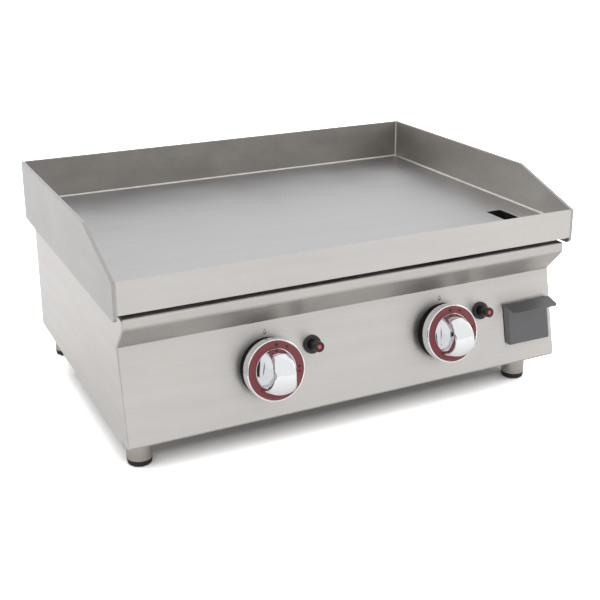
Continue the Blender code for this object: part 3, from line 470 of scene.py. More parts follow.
def turned(profile, segments=64):
    """A solid turned about Z from a closed (radius, z) profile, which may start and end on the axis."""
    shape = bmesh.new()
    columns = []
    for radius, z in profile:
        if radius == 0:
            columns.append([shape.verts.new((0.0, 0.0, z))] * segments)
        else:
            ring = [2 * pi * i / segments for i in range(segments)]
            columns.append([shape.verts.new((radius * cos(a), radius * sin(a), z)) for a in ring])
    for lower, upper in zip(columns, columns[1:] + columns[:1]):
        for i in range(segments):
            j = (i + 1) % segments
            corners = list(dict.fromkeys((lower[i], lower[j], upper[j], upper[i])))
            if len(corners) > 2:
                shape.faces.new(corners)
    return shape


def cylinder(radius, low, high, segments=48):
    return turned([(0, low), (radius, low), (radius, high), (0, high)], segments)


def fillet(corners, radii, steps=8):
    """A 2-D line through the corners, with each inner corner rounded to its own radius."""
    line = [Vector(corners[0])]
    for before, corner, after, radius in zip(corners, corners[1:], corners[2:], radii):
        corner = Vector(corner)
        back = (Vector(before) - corner).normalized()
        ahead = (Vector(after) - corner).normalized()
        half = back.angle(ahead) / 2
        if radius == 0:
            line.append(corner)
            continue
        centre = corner + (back + ahead).normalized() * radius / sin(half)
        first = corner + back * radius / tan(half) - centre
        last = corner + ahead * radius / tan(half) - centre
        turn = first.angle_signed(last)
        line += [centre + Matrix.Rotation(-turn * i / steps, 2) @ first for i in range(steps + 1)]
    line.append(Vector(corners[-1]))
    return line


def rounded(corners, radii, steps=6):
    """A closed outline through the corners, each rounded to its own radius."""
    count = len(corners)
    line = []
    for i in range(count):
        part = fillet([corners[i - 1], corners[i], corners[(i + 1) % count]], [radii[i]], steps)
        line += part[1:-1]
    return line


def rounded_rectangle(left, right, bottom, top, radius):
    return rounded([(left, bottom), (right, bottom), (right, top), (left, top)], [radius] * 4)


def offset(line, distance):
    """The line moved sideways to its right."""
    moved = []
    for i, point in enumerate(line):
        before = (point - line[i - 1]).normalized() if i > 0 else None
        after = (line[i + 1] - point).normalized() if i + 1 < len(line) else None
        before = before or after
        after = after or before
        normal_before = Vector((before.y, -before.x))
        normal_after = Vector((after.y, -after.x))
        middle = (normal_before + normal_after).normalized()
        moved.append(point + middle * distance / middle.dot(normal_before))
    return moved


# ---------------- griddle pan
def drain_outline():
    """The drain slot's outline in the plate. The chute's flange stands this margin outside it."""
    margin = 0.0060
    low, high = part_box("drain_chute")
    return rounded_rectangle(low.x + margin, high.x - margin, low.y + margin, high.y - margin, 0.0022)


def griddle_plate():
    low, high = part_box("griddle_plate")
    plate = place(box(low, high))
    combine(plate, "DIFFERENCE", place(prism(drain_outline(), low.z - 0.01, high.z + 0.01, "Z")))
    soften(plate, 0.0006)
    finish(plate, "griddle_plate_ground", "plate", node="griddle_plate")


def drain_film():
    """The burnt grease that coats the drain slot's walls."""
    low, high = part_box("griddle_plate")
    thickness, below_top = 0.0004, 0.0007
    outer = drain_outline()
    middle = sum(outer, Vector((0, 0))) / len(outer)
    inner = [p + (middle - p).normalized() * thickness * 1.4 for p in outer]
    levels = ((outer, low.z), (outer, high.z - below_top), (inner, high.z - below_top), (inner, low.z))
    film = place(loft([[(p.x, p.y, z) for p in line] for line, z in levels], closed=True))
    finish(film, "drain_slot_film", "burnt")


def side_guard(side):
    """A side plate of the pan, with rolled edges and the rounded toe at its front."""
    low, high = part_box(f"splash_guard_{side}")
    lip_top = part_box("front_lip")[1].z
    corners = [
        (low.y, low.z), (low.y, lip_top), (GUARD_SLOPE_START_Y, high.z), (high.y, high.z), (high.y, low.z)
    ]
    outline = rounded(corners, [0.008, 0.003, 0.008, 0.002, 0.002])
    guard = place(prism(outline, low.x, high.x))
    soften(guard, 0.0007)
    finish(guard, f"splash_guard_{side}_plate", f"guard_{side}", node=f"splash_guard_{side}")


def cross_plate(node, material):
    """The back guard or the front lip, run out a little to meet the side plates."""
    low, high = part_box(node)
    reach = Vector((0.0002, 0, 0))
    plate = place(box(low - reach, high + reach))
    soften(plate, 0.0008)
    finish(plate, f"{node}_plate", material, node=node)


def lip_seams():
    """The dressed welds that close the joint between the front lip's ends and the side plates."""
    low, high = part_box("front_lip")
    half, below_face, inset = 0.0009, 0.00025, 0.0008
    front, back = low.y + below_face, high.y - inset
    bottom, top = low.z + inset, high.z - inset * 0.4
    seam = place(boxes([((x - half, front, bottom), (x + half, back, top)) for x in (low.x, high.x)]))
    soften(seam, 0.0002, 2)
    finish(seam, "lip_seams", "steel_x")


def weld_section(corner, inward, leg, sink=0.0004):
    """A fillet weld's section at a corner point: `inward` points across the plate, and Z up the guard."""
    up = Vector((0, 0, 1))
    hollow = 0.42 * leg
    return [
        corner - inward * sink - up * sink,
        corner + inward * leg - up * sink,
        corner + inward * leg,
        corner + inward * (hollow + 0.25 * leg) + up * (hollow - 0.18 * leg),
        corner + inward * (hollow - 0.18 * leg) + up * (hollow + 0.25 * leg),
        corner + up * leg,
        corner - inward * sink + up * leg,
    ]


def plate_weld():
    """The dressed fillet weld all round the plate, a little uneven as a hand-made one is."""
    low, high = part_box("griddle_plate")
    wobble = random.Random(7)
    spacing = 0.006
    spots = ((low.x, low.y), (high.x, low.y), (high.x, high.y), (low.x, high.y))
    corners = [Vector((x, y, high.z)) for x, y in spots]
    rings = []
    for i, start in enumerate(corners):
        end = corners[(i + 1) % 4]
        before = (start - corners[i - 1]).normalized()
        along = (end - start).normalized()
        inward_here = Vector((-along.y, along.x, 0))
        mitre = inward_here + Vector((-before.y, before.x, 0))
        rings.append(weld_section(start, mitre, WELD_LEG))
        steps = round((end - start).length / spacing)
        for k in range(1, steps):
            leg = WELD_LEG * wobble.uniform(0.92, 1.08)
            rings.append(weld_section(start + along * (end - start).length * k / steps, inward_here, leg))
    weld = place(loft(rings, closed=True))
    finish(weld, "plate_weld", "weld", sharp_angle=60)


def corner_weld(side):
    """The vertical seam where the back guard meets a side guard."""
    sign = SIDE_SIGN[side]
    plate_low, plate_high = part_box("griddle_plate")
    guard_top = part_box("splash_guard_back")[1].z
    x = plate_high.x if sign > 0 else plate_low.x
    sink, leg = 0.0004, 0.0013
    wobble = random.Random(11 + sign)
    rings = []
    steps = 12
    for k in range(steps + 1):
        z = plate_high.z + (guard_top - 0.0012 - plate_high.z) * k / steps
        reach = leg * wobble.uniform(0.9, 1.1)
        inner = reach * 0.3
        bead = [(-sink, -sink), (reach, -sink), (reach, 0), (inner, inner), (0, reach), (-sink, reach)]
        rings.append([(x - sign * a, plate_high.y - b, z) for a, b in bead])
    weld = place(loft(rings))
    finish(weld, f"corner_weld_{side}", "weld", sharp_angle=60)


# ---------------- casing
def face_y(z):
    """The y of the leaning face's outer surface at a height."""
    return FACE_POINT.y - (z - FACE_POINT.z) * FACE_OUT.z / FACE_OUT.y


def front_panel():
    """The folded control panel, its ends curled round the corners to meet the side panels."""
    low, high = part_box("front_panel")
    foot_flange_end = -0.222
    corners = [
        (foot_flange_end, low.z), (face_y(low.z), low.z), (face_y(CREASE_Z), CREASE_Z),
        (low.y, NOSE_LOW_Z), (low.y, high.z), (high.y, high.z),
    ]
    line = fillet(corners, [0.0036, 0.002, 0.009, 0.004])
    curl_steps, reach = 6, 0.0003
    inner_radius = CORNER_RADIUS - SHEET
    centre_x = high.x - CORNER_RADIUS

    def section(sign, outer_x, outer_offset, inner_x, inner_offset):
        """The outer surface's line at one x, and the inner surface's line back at another."""
        outer, inner = offset(line, outer_offset), offset(line, inner_offset)[::-1]
        return [(sign * outer_x, y, z) for y, z in outer] + [(sign * inner_x, y, z) for y, z in inner]

    half = [(high.x, CORNER_RADIUS + reach, high.x - SHEET, CORNER_RADIUS + reach)]
    for i in range(curl_steps, -1, -1):
        across, back = sin(pi / 2 * i / curl_steps), cos(pi / 2 * i / curl_steps)
        half.append((centre_x + CORNER_RADIUS * across, CORNER_RADIUS * (1 - back),
                     centre_x + inner_radius * across, CORNER_RADIUS - inner_radius * back))
    rings = [section(-1, *step) for step in half] + [section(1, *step) for step in half[::-1]]
    shape = loft(rings)
    count = len(line)
    for cap in [f for f in shape.faces if len(f.verts) > 4]:
        corners = list(cap.verts)
        bmesh.ops.delete(shape, geom=[cap], context="FACES_ONLY")
        for i in range(count - 1):
            shape.faces.new((corners[i], corners[i + 1], corners[-2 - i], corners[-1 - i]))
    panel = place(shape)

    cutters = []
    for side in SIDE_SIGN:
        for node, radius in ((f"knob_dial_{side}", 0.0115), (f"piezo_igniter_{side}", 0.0089)):
            cutters.append(place(cylinder(radius, -0.02, 0.01), face_frame_at(node)))
    drawer_low, drawer_high = face_box("drawer_front")
    opening = box((drawer_low.x + 0.001, drawer_low.y + 0.0035, -0.02),
                  (drawer_high.x - 0.001, drawer_high.y - 0.0015, 0.01))
    cutters.append(place(opening, FACE))
    notch, foot_y = 0.0045, face_y(low.z)
    for sign in (-1, 1):
        cutters.append(place(box((sign * (high.x - notch), foot_y - 0.001, low.z - 0.001),
                                 (sign * (high.x + 0.001), foot_y + notch, low.z + 0.0022))))
    combine(panel, "DIFFERENCE", *cutters)
    finish(panel, "front_panel_folded", "panel", node="front_panel", sharp_angle=30)


def rear_panel():
    """The casing's back, folded in at the top, with round-ended flue slots."""
    low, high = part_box("rear_panel")
    fold = 0.018
    line = fillet([(high.y, low.z), (high.y, high.z), (high.y - fold, high.z)], [0.003], 6)
    outline = line + offset(line, -SHEET)[::-1]
    panel = place(prism(outline, low.x, high.x))
    slot_count, pitch, half_slot = 16, 0.036, 0.004
    slot_low, slot_high = 0.180, 0.212
    cutters = [place(cylinder(0.0101, -0.02, 0.02), inlet_frame())]
    for i in range(slot_count):
        x = (i - (slot_count - 1) / 2) * pitch
        slot = rounded_rectangle(x - half_slot, x + half_slot, slot_low, slot_high, half_slot * 0.98)
        cutters.append(place(prism(slot, high.y - 0.01, high.y + 0.01, "Y")))
    combine(panel, "DIFFERENCE", *cutters)
    finish(panel, "rear_panel_folded", "steel_x", node="rear_panel", sharp_angle=30)


def inlet_frame():
    """A frame on the gas inlet's axis at the casing's back."""
    low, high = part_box("gas_inlet_nut")
    return frame_behind((low.x + high.x) / 2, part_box("rear_panel")[1].y, (low.z + high.z) / 2)


def gas_inlet():
    """The chamfered nut that holds the gas inlet, and the thread on the pipe's end."""
    at = inlet_frame()
    across_flats, height, bore = 0.027, 0.014, 0.0098
    corner_radius, chamfer = across_flats / sqrt(3), 0.0018
    corners = [pi / 3 * i for i in range(6)]
    hexagon = [(corner_radius * cos(angle), corner_radius * sin(angle)) for angle in corners]
    nut = place(prism(hexagon, GAP, GAP + height, "Z"), at)
    wide, top = corner_radius + 0.001, GAP + height + 0.0002
    blank = [
        (bore, -0.001), (wide, -0.001), (wide, GAP + height - chamfer),
        (across_flats / 2 - 0.0004, top), (bore, top),
    ]
    combine(nut, "INTERSECT", place(turned(blank), at))
    soften(nut, 0.0003, 2)
    finish(nut, "gas_inlet_hexagon", "brass", node="gas_inlet_nut", sharp_angle=30)

    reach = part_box("gas_inlet_pipe")[1].y - at.translation.y
    crest, root, inside = 0.0104, 0.0096, 0.0071
    start, pitch = GAP + height + 0.0020, 0.0018
    turns = int((reach - 0.0010 - start) / pitch)
    profile = [(inside, start - 0.0016), (root, start - 0.0016)]
    for i in range(turns):
        z = start + i * pitch
        profile += [(root, z), (crest, z + 0.4 * pitch), (crest, z + 0.6 * pitch)]
    profile += [(root, start + turns * pitch), (root - 0.0004, reach - 0.0001), (inside, reach - 0.0001)]
    thread = place(turned(profile), at)
    finish(thread, "gas_inlet_thread", "brass", sharp_angle=25)


def panel_screws():
    """Cross-recessed pan-head screws along the back panel's sides and foot."""
    low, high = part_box("rear_panel")
    radius, head, margin = 0.0038, 0.0022, 0.012
    heights = (low.z + margin, (low.z + high.z) / 2, high.z - margin)
    spots = [(x, z) for x in (low.x + margin, high.x - margin) for z in heights]
    spots += [(x, low.z + margin) for x in (-0.11, 0.11)]
    dome = fillet([(radius, 0.0), (radius, head * 0.45), (0.0, head)], [0.0012], 5)
    profile = [(0, 0.0), *dome[:-1], (0, head)]
    for number, (x, z) in enumerate(spots):
        at = frame_behind(x, high.y, z)
        screw = place(turned(profile, 32), at)
        for half_x, half_y in ((0.0020, 0.0004), (0.0004, 0.0020)):
            slot = box((-half_x, -half_y, head * 0.4), (half_x, half_y, head + 0.001))
            combine(screw, "DIFFERENCE", place(slot, at))
        finish(screw, f"back_screw_{number}", "foot", sharp_angle=30)


# ---------------- knobs
def knob_profile():
    """The turned knob: boss, web, skirt, rolled rim, the dial ring's seat and the dished middle."""
    radius, skirt = 0.0424, 0.0012
    boss_radius, boss_back = 0.0090, 0.0045
    hub_back, web_back, skirt_back = 0.0180, 0.0215, 0.0140
    seat_low, seat_high = DIAL_RADII[0] - 0.0003, DIAL_RADII[1] + 0.0003
    seat_floor = KNOB_RIM - 0.0021
    groove_low, groove_high, groove_depth = 0.0215, 0.0222, 0.0005
    waist = radius - groove_depth
    rim = fillet([(seat_high, seat_floor), (seat_high, KNOB_RIM), (radius, KNOB_RIM), (radius, groove_high),
                  (waist, groove_high), (waist, groove_low), (radius - 0.0001, groove_low),
                  (radius - 0.0004, skirt_back)],
                 [0.0008, 0.0016, 0.0002, 0.0001, 0.0001, 0.0002], 6)
    dish_edge = KNOB_RIM - 0.0009
    dish = fillet([(seat_low - 0.0006, dish_edge), (0.0272, 0.0222), (0.0180, 0.0205), (0.0, 0.0205)],
                  [0.0028, 0.0140], 10)
    return [
        (0, boss_back), (boss_radius, boss_back), (boss_radius, hub_back), (0.0310, hub_back),
        (0.0330, web_back), (radius - skirt, web_back), (radius - skirt, skirt_back), *rim[::-1],
        (seat_low, seat_floor), (seat_low, dish_edge), *dish[:-1], (0, dish[-1].y),
    ]


def grip_outline():
    """The (up, out) outline of the grip along its middle: leaning ends under an arched crown."""
    crown_middle = (CROWN_ENDS[0] + CROWN_ENDS[1]) / 2
    half_chord = (CROWN_ENDS[1] - CROWN_ENDS[0]) / 2
    sagitta = KNOB_REACH - CROWN_END_OUT
    crown_radius = (half_chord ** 2 + sagitta ** 2) / (2 * sagitta)
    root_up, root_out = 0.0284, 0.0195
    undercut_out, overhang_out = KNOB_RIM + 0.0006, KNOB_RIM + 0.0016
    crown_steps = 32
    crown = []
    for i in range(3, crown_steps - 2):
        along = half_chord * (2 * i / crown_steps - 1)
        out = KNOB_REACH - crown_radius + sqrt(crown_radius ** 2 - along ** 2)
        crown.append(Vector((crown_middle + along, out)))

    def end(sign, foot_up, crown_up, next_point):
        corner = fillet([(foot_up, overhang_out), (crown_up, CROWN_END_OUT), next_point], [0.0040], 6)
        return [Vector((sign * root_up, root_out)), Vector((sign * root_up, undercut_out))] + corner[:-1]

    lower = end(-1, GRIP_ENDS[0], CROWN_ENDS[0], crown[0])
    upper = end(1, GRIP_ENDS[1], CROWN_ENDS[1], crown[-1])
    return lower + crown + upper[::-1]


def grip():
    """The grip bar: narrow at the top, flared at its foot, with bowed ends and round shoulders."""
    waist, crown_flare = 0.0136, 0.0022
    low_flare, high_taper = 0.0090, 0.0012
    low_arc, high_arc = 0.0340, 0.0260  # radii of the bowed ends, seen from the front
    shoulder = 0.0034
    shoulder_steps = 7
    outline = grip_outline()
    root_out = outline[0].y
    centre = Vector((0.0, 0.034))

    def half_width(up, out):
        height = (out - root_out) / (KNOB_REACH - root_out)
        low = max(0.0, up / GRIP_ENDS[0])
        high = max(0.0, up / GRIP_ENDS[1])
        return waist + crown_flare * height + low_flare * low ** 2 - high_taper * high ** 2

    def ring(across, inset=0.0, scale=1.0):
        """The outline at `across` of the half width, drawn in by `inset`, then scaled about its centre."""
        points = []
        for p in outline:
            inward = centre - p
            q = centre + (p + inward.normalized() * inset - centre) * scale
            x = across * half_width(q.x, q.y)
            arc = low_arc if q.x < 0 else high_arc
            shorten = sqrt(1 - (x / arc) ** 2)
            points.append((x, q.x * shorten, q.y))
        return points

    def flank(sign):
        """Rings from the middle of one flank out over its rounded shoulder."""
        rings = [ring(sign, shoulder, scale) for scale in (0.02, 0.2, 0.4, 0.6, 0.8, 0.92)]
        share = shoulder / (waist + crown_flare)
        for i in range(shoulder_steps + 1):
            angle = pi / 2 * i / shoulder_steps
            rings.append(ring(sign * (1 - share * (1 - cos(angle))), shoulder * (1 - sin(angle))))
        return rings

    middle = [ring(across / 10) for across in (-7, -5, -2.5, 0, 2.5, 5, 7)]
    return loft(flank(-1) + middle + flank(1)[::-1])


def circle_outline(radius, points=32):
    angles = [2 * pi * i / points for i in range(points)]
    return [(radius * cos(angle), radius * sin(angle)) for angle in angles]


def star_outline(points, outer, inner):
    outline = []
    for i in range(points * 2):
        radius = outer if i % 2 == 0 else inner
        angle = pi * i / points
        outline.append((radius * sin(angle), radius * cos(angle)))
    return outline


def flame_outline(size):
    """A flame: round at its foot, drawn up to a leaning tip."""
    shape = []
    for i in range(24):
        angle = 2 * pi * i / 24
        x = 0.42 * sin(angle) * (1 - 0.55 * max(0.0, cos(angle)))
        y = -0.35 + (0.45 if cos(angle) < 0 else 0.95) * cos(angle)
        lean = 0.12 * max(0.0, cos(angle)) ** 2
        shape.append(((x + lean) * size, y * size))
    return shape


def dial_marks(side, turn):
    """The printed marks on the dial ring: a dot at off, a spark at light, and a large and a small flame."""
    radius = (DIAL_RADII[0] + DIAL_RADII[1]) / 2
    low, high = KNOB_RIM - 0.0006, KNOB_RIM - 0.00022
    marks = [
        (0, circle_outline(0.0024)),
        (-27, star_outline(6, 0.0030, 0.0014)),
        (-85, flame_outline(0.0046)),
        (-96, flame_outline(0.0034)),
    ]
    shape = bmesh.new()
    for degrees, outline in marks:
        round_dial = Matrix.Rotation(radians(degrees), 2)
        prism([round_dial @ Vector((x, y + radius)) for x, y in outline], low, high, "Z", shape)
    finish(place(shape, turn), f"dial_marks_{side}", "print", f"{side}_knob")


def knob(side):
    """A knob with its grip and quadrant grooves, the red dial ring and its marks, and the collar behind."""
    upright = face_frame_at(f"knob_dial_{side}")
    turn = upright @ Matrix.Rotation(radians(KNOB_TURNED[side]), 4, "Z")
    body = place(turned(knob_profile(), 96), turn)
    combine(body, "UNION", place(grip(), turn))
    quarters = [turn @ Matrix.Rotation(pi / 2 * i, 4, "Z") for i in range(4)]
    notches = [place(box((0.0415, -0.0011, 0.013), (0.0435, 0.0011, 0.030)), at) for at in quarters]
    combine(body, "DIFFERENCE", *notches)
    finish(body, f"knob_{side}_plated", "chrome", f"{side}_knob", f"knob_{side}", sharp_angle=32)

    inner, outer = DIAL_RADII
    low, high = KNOB_RIM - 0.0018, KNOB_RIM - 0.0003
    section = fillet([(outer, low), (outer, high), (inner, high), (inner, low)], [0.0004, 0.0004], 4)
    ring = place(turned(section, 96), turn)
    finish(ring, f"dial_ring_{side}", "dial", f"{side}_knob", f"knob_dial_{side}")
    dial_marks(side, turn)

    collar_low, collar_high = face_box(f"knob_bezel_{side}")
    radius = (collar_high.x - collar_low.x) / 2
    bore, back, front = 0.0340, collar_low.z, collar_high.z
    section = fillet([(bore, back), (radius, back), (radius, front), (bore, front)], [0.0004, 0.0012], 5)
    collar = place(turned(section, 72), upright)
    finish(collar, f"knob_collar_{side}", "collar", node=f"knob_bezel_{side}")


# ---------------- igniters
def igniter(side):
    """An igniter's flanged body in the panel, its push button and the red eye in the button."""
    at = face_frame_at(f"piezo_igniter_{side}")
    low, high = face_box(f"piezo_igniter_{side}")
    radius, back, front = (high.x - low.x) / 2, 0.0003, high.z
    barrel, bore, bore_floor = 0.0085, 0.0076, -0.020
    corners = [(barrel, back), (radius, back), (radius, front - 0.0009), (0.0104, front), (bore, front)]
    outside = fillet(corners, [0.0004, 0.0013, 0.0004], 5)
    profile = [(0, low.z), (barrel, low.z), *outside, (bore, bore_floor), (0, bore_floor)]
    body = place(turned(profile), at)
    finish(body, f"igniter_body_{side}", "black", node=f"piezo_igniter_{side}")

    low, high = face_box(f"igniter_button_{side}")
    radius, front = (high.x - low.x) / 2, high.z
    recess, recess_floor = 0.0033, front - 0.0015
    corners = [(radius, low.z), (radius, front), (recess, front), (recess, recess_floor)]
    cap = fillet(corners, [0.0012, 0.0003], 5)
    button = place(turned([(0, low.z), *cap, (0, recess_floor)], 48), at)
    finish(button, f"igniter_push_{side}", "black", f"{side}_igniter_button", f"igniter_button_{side}")

    radius, base = recess - 0.0002, front - 0.0013
    edge, crown = base + 0.0008, 0.0007
    dome = [(0, base), (radius, base)]
    for i in range(5):
        angle = pi / 2 * i / 5
        dome.append((radius * cos(angle), edge + crown * sin(angle)))
    insert = place(turned([*dome, (0, edge + crown)], 40), at)
    finish(insert, f"igniter_eye_{side}", "insert", f"{side}_igniter_button", f"igniter_insert_{side}")


def index_mark(side):
    """The small flame outline printed on the panel above a knob."""
    size, above_centre = 0.0052, 0.0490
    outer, inner = flame_outline(size), flame_outline(size * 0.60)
    low, high = 0.00002, 0.00012
    levels = ((outer, low), (outer, high), (inner, high), (inner, low))
    ring_shape = loft([[(x, y, z) for x, y in line] for line, z in levels], closed=True)
    mark = place(ring_shape, face_frame_at(f"knob_dial_{side}", above_centre))
    finish(mark, f"index_mark_{side}", "print_grey")


# ---------------- grease drawer
def drawer_front():
    """The folded front: sides turned back to the panel, and a grip turned out and down from its top edge."""
    low, high = face_box("drawer_front")
    left, right, bottom, top = low.x, high.x, low.y, high.y
    proud, edge_out, over = 0.0068, 0.0015, 0.001
    fold = proud - edge_out
    face = [(left, edge_out), (left + fold, proud), (right - fold, proud), (right, edge_out)]
    line = fillet(face, [0.0018, 0.0018], 5)
    front = place(prism(line + offset(line, SHEET)[::-1], bottom, top, "Y"), FACE)

    grip_out, grip_drop = high.z - 0.0008, 0.0115
    flap_back = proud - SHEET
    line = fillet([(top - 0.004, flap_back), (top, flap_back), (top - grip_drop, grip_out)], [0.0017], 6)
    flap = place(prism(line + offset(line, SHEET)[::-1], left, right), FACE)

    chamfer, round_tip, steps = 0.005, 0.005, 8
    quarter = [pi / 2 * i / steps for i in range(steps + 1)]
    cutters, trims = [], []
    for edge, inward in ((left, 1), (right, -1)):
        beyond = edge - over * inward
        below = bottom - over
        corner = [(beyond, below), (edge + chamfer * inward, below), (beyond, bottom + chamfer)]
        cutters.append(place(prism(corner, -0.01, 0.02, "Z"), FACE))
        arc = [(edge + inward * round_tip * (1 - sin(a)), grip_out - round_tip * (1 - cos(a)))
               for a in quarter]
        ahead = grip_out + 0.003
        corner = [(beyond, ahead), (arc[0][0], ahead), *arc, (beyond, arc[-1][1])]
        trims.append(place(prism(corner, top - 0.03, top + 0.01, "Y"), FACE))
    combine(front, "DIFFERENCE", *cutters)
    combine(flap, "DIFFERENCE", *trims)
    combine(front, "UNION", flap)
    finish(front, "drawer_front_folded", "drawer", "grease_drawer", "drawer_front", sharp_angle=25)


def grease_tray():
    """The tray behind the front: round corners and foot, and a front wall that leans with the panel."""
    low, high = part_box("grease_drawer")
    wall, corner, bend = 0.0012, 0.0069, 0.0012
    brow = 0.0002
    front_out = (low.y - face_y(low.z)) * FACE_OUT.y

    def ring(inset, z):
        front = face_y(z) + (front_out - inset) / FACE_OUT.y
        left, right, back = low.x + inset, high.x - inset, high.y - inset
        return [(x, y, z) for x, y in rounded_rectangle(left, right, front, back, corner - inset)]

    def lower_bend(inset, z):
        """Rings round the bend from the flat bottom at height z up into the wall."""
        return [ring(inset + bend, z), ring(inset + bend * 0.3, z + bend * 0.3), ring(inset, z + bend)]

    top, shoulder = high.z, high.z - brow
    top_edge = [ring(0.0, shoulder), ring(brow, top), ring(wall - brow, top), ring(wall, shoulder)]
    rings = lower_bend(0.0, low.z) + top_edge + lower_bend(wall, low.z + wall)[::-1]
    tray = place(loft(rings))
    finish(tray, "grease_tray_folded", "drawer", "grease_drawer", "grease_drawer", sharp_angle=30)


# ---------------- feet
def foot(corner):
    """A foot's turned tube with its stud, and the sole that plugs its lower end."""
    low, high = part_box(f"foot_sleeve_{corner}")
    centre, radius = (low + high) / 2, (high.x - low.x) / 2
    at = Matrix.Translation((centre.x, centre.y, 0))
    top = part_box("base_pan")[0].z - GAP
    wall, stud, lid = 0.0017, 0.005, 0.004
    inside = radius - wall
    outside = fillet([(inside, low.z), (radius, low.z), (radius, top), (stud, top)], [0.0005, 0.0009], 4)
    profile = [(0, top - lid), (inside, top - lid), *outside,
               (stud, high.z - 0.0008), (stud - 0.0008, high.z), (0, high.z)]
    sleeve = place(turned(profile), at)
    finish(sleeve, f"foot_tube_{corner}", "foot", f"{corner}_sleeve", f"foot_sleeve_{corner}")

    low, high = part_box(f"foot_sole_{corner}")
    sole_top, plug = 0.008, inside - 0.0003
    outside = fillet([(0, low.z), (radius - 0.0012, low.z), (radius, sole_top), (plug, sole_top)],
                     [0.0022, 0.0006], 5)
    sole = place(turned([*outside, (plug, high.z), (0, high.z)]), at)
    finish(sole, f"foot_pad_{corner}", "rubber", f"{corner}_sole", f"foot_sole_{corner}")


# ---------------- carried-over CAD pieces
CARRIED = {  # the finish of each CAD node that stays as it is, by the start of its name
    "steel_x": ("base_pan", "burner_rail", "heat_shield", "gas_manifold"),
    "steel_y": ("side_panel", "drawer_guide"),
    "steel_z": ("tap_spindle",),
    "chute": ("drain_chute",),
    "burner": ("burner_left", "burner_right"),
    "brass": ("gas_tap", "injector", "gas_inlet_pipe", "thermocouple", "tap_plunger"),
    "black": ("igniter_nut",),
    "rubber": ("ignition_cable",),
    "ceramic": ("spark_electrode",),
}


def paint_carried():
    for material, starts in CARRIED.items():
        for node, obj in frame["nodes"].items():
            if node.startswith(starts):
                obj.data.materials.clear()
                obj.data.materials.append(MATERIALS[material])


# ---------------- studio
def floor():
    """A white table top. The camera sees it over-exposed, so it shows white but for a painted shadow over
    the casing's footprint, where the table's glow is also left out.
    """
    shape = bmesh.new()
    bmesh.ops.create_grid(shape, x_segments=2, y_segments=2, size=12.0)
    table = place(shape, name="table_top")
    shader = Shader("table_white")
    true_albedo, seen_open, seen_in_painted_shadow, bounce = 0.84, 3.0, 0.56, 0.22
    mottle = shader.spread(shader.noise(shader.position(), 3.0, 2.0), 0.995, 1.0)
    seen = shader.node("LightPath").outputs["Is Camera Ray"]
    spot = shader.node("SeparateXYZ", Vector=shader.position()).outputs
    # Painted shadow: a mask over the casing's footprint, fading in behind the front edge and out towards the
    # back. There the camera sees the table dark and nothing sees it glow.
    across = shader.spread(shader.math("ABSOLUTE", spot["X"]), 1.0, 0.0, 0.30, 0.36)
    from_front = shader.spread(spot["Y"], 0.0, 1.0, -0.235, -0.165)
    to_back = shader.spread(spot["Y"], 1.0, 0.0, 0.12, 0.22)
    under = shader.times(shader.times(across, from_front), to_back)
    change = shader.math("SUBTRACT", shader.spread(under, seen_open, seen_in_painted_shadow, 0.0, 1.0), true_albedo)
    albedo = shader.times(mottle, shader.math("ADD", shader.times(seen, change), true_albedo))
    paper = shader.node("BsdfDiffuse", Color=shader.tint((1.0, 1.0, 1.0), albedo))
    unseen = shader.math("SUBTRACT", 1.0, shader.math("MAXIMUM", seen, under))
    glow = shader.node("Emission", Strength=shader.times(unseen, bounce))
    both = shader.node("AddShader")
    shader.put(both.inputs[0], paper.outputs["BSDF"])
    shader.put(both.inputs[1], glow.outputs["Emission"])
    shader.put(shader.tree.nodes["Material Output"].inputs["Surface"], both.outputs["Shader"])
    table.data.materials.append(shader.material)
    table.location.z = -0.0002


def black_card():
    """A black card standing to the left of the camera. Only mirror-like surfaces see it."""
    card = place(box((-1.16, -1.52, 0.0), (-1.15, -0.45, 0.55)), name="black_card")
    shader = Shader("card_black")
    felt = shader.spread(shader.noise(shader.position(), 300.0, 3.0), 0.6, 1.4)
    shader.set(Base_Color=shader.tint((0.010, 0.010, 0.010), felt), Roughness=0.9)
    card.data.materials.append(shader.material)
    card.visible_camera = False
    card.visible_diffuse = False
    card.visible_shadow = False


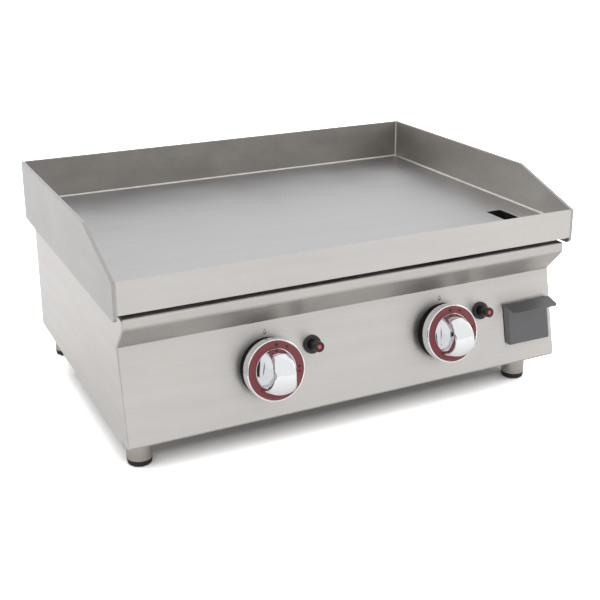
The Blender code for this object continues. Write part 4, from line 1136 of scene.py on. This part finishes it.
def world():
    """White to the camera. To the object, a white room that is a little brighter behind it to the right."""
    level, extra, reach, full = 0.98, 0.10, 0.55, 0.82
    toward = Vector((0.80, 0.45, 0.40)).normalized()
    room = bpy.data.worlds.new("studio")
    bpy.context.scene.world = room
    room.use_nodes = True
    nodes = Nodes(room.node_tree)
    facing = nodes.dot(nodes.node("TexCoord").outputs["Generated"], toward)
    lobe = nodes.node("MapRange", Value=facing, From_Min=reach, From_Max=full, To_Max=extra)
    lobe.interpolation_type = "SMOOTHSTEP"
    seen = nodes.node("LightPath").outputs["Is Camera Ray"]
    lit = nodes.math("ADD", lobe.outputs["Result"], level)
    strength = nodes.math("MAXIMUM", seen, nodes.times(lit, nodes.math("SUBTRACT", 1.0, seen)))
    background = nodes.tree.nodes["Background"]
    nodes.put(background.inputs["Strength"], strength)
    background.inputs["Color"].default_value = (1.0, 1.0, 1.0, 1.0)


def softbox():
    """A soft lamp to the right of the cook, a little warm."""
    light = bpy.data.lights.new("right", "AREA")
    light.size, light.energy, light.color = 1.2, 8, (1.0, 0.99, 0.97)
    obj = add("right", light)
    obj.location = (2.6, -0.9, 1.5)
    obj.rotation_euler = (Vector((0, 0, 0.15)) - obj.location).to_track_quat("-Z", "Y").to_euler()


def camera():
    """The camera stands to the cook's left, looking down at the front corner through a shifted lens."""
    azimuth, elevation, roll = radians(-24.89), radians(17.69), radians(-0.58)
    turn = (Matrix.Rotation(azimuth, 4, "Z") @ Matrix.Rotation(pi / 2 - elevation, 4, "X")
            @ Matrix.Rotation(roll, 4, "Z"))
    lens = bpy.data.cameras.new("camera")
    lens.sensor_width, lens.lens = 36.0, 62.45
    lens.shift_x, lens.shift_y = 0.0349, -0.1096
    lens.clip_start, lens.clip_end = 0.05, 50.0
    obj = add("camera", lens)
    obj.matrix_world = Matrix.Translation((-0.6597, -1.3967, 0.7180)) @ turn
    bpy.context.scene.camera = obj


def studio():
    floor()
    black_card()
    world()
    softbox()
    camera()
    bpy.context.scene.view_settings.view_transform = "Standard"


# ---------------- build
def build():
    griddle_plate()
    drain_film()
    cross_plate("splash_guard_back", "guard_back")
    cross_plate("front_lip", "steel_x")
    lip_seams()
    plate_weld()
    front_panel()
    rear_panel()
    gas_inlet()
    panel_screws()
    for side in SIDE_SIGN:
        side_guard(side)
        corner_weld(side)
        knob(side)
        igniter(side)
        index_mark(side)
    drawer_front()
    grease_tray()
    for corner in ("front_left", "front_right", "rear_left", "rear_right"):
        foot(corner)
    paint_carried()


build()
studio()
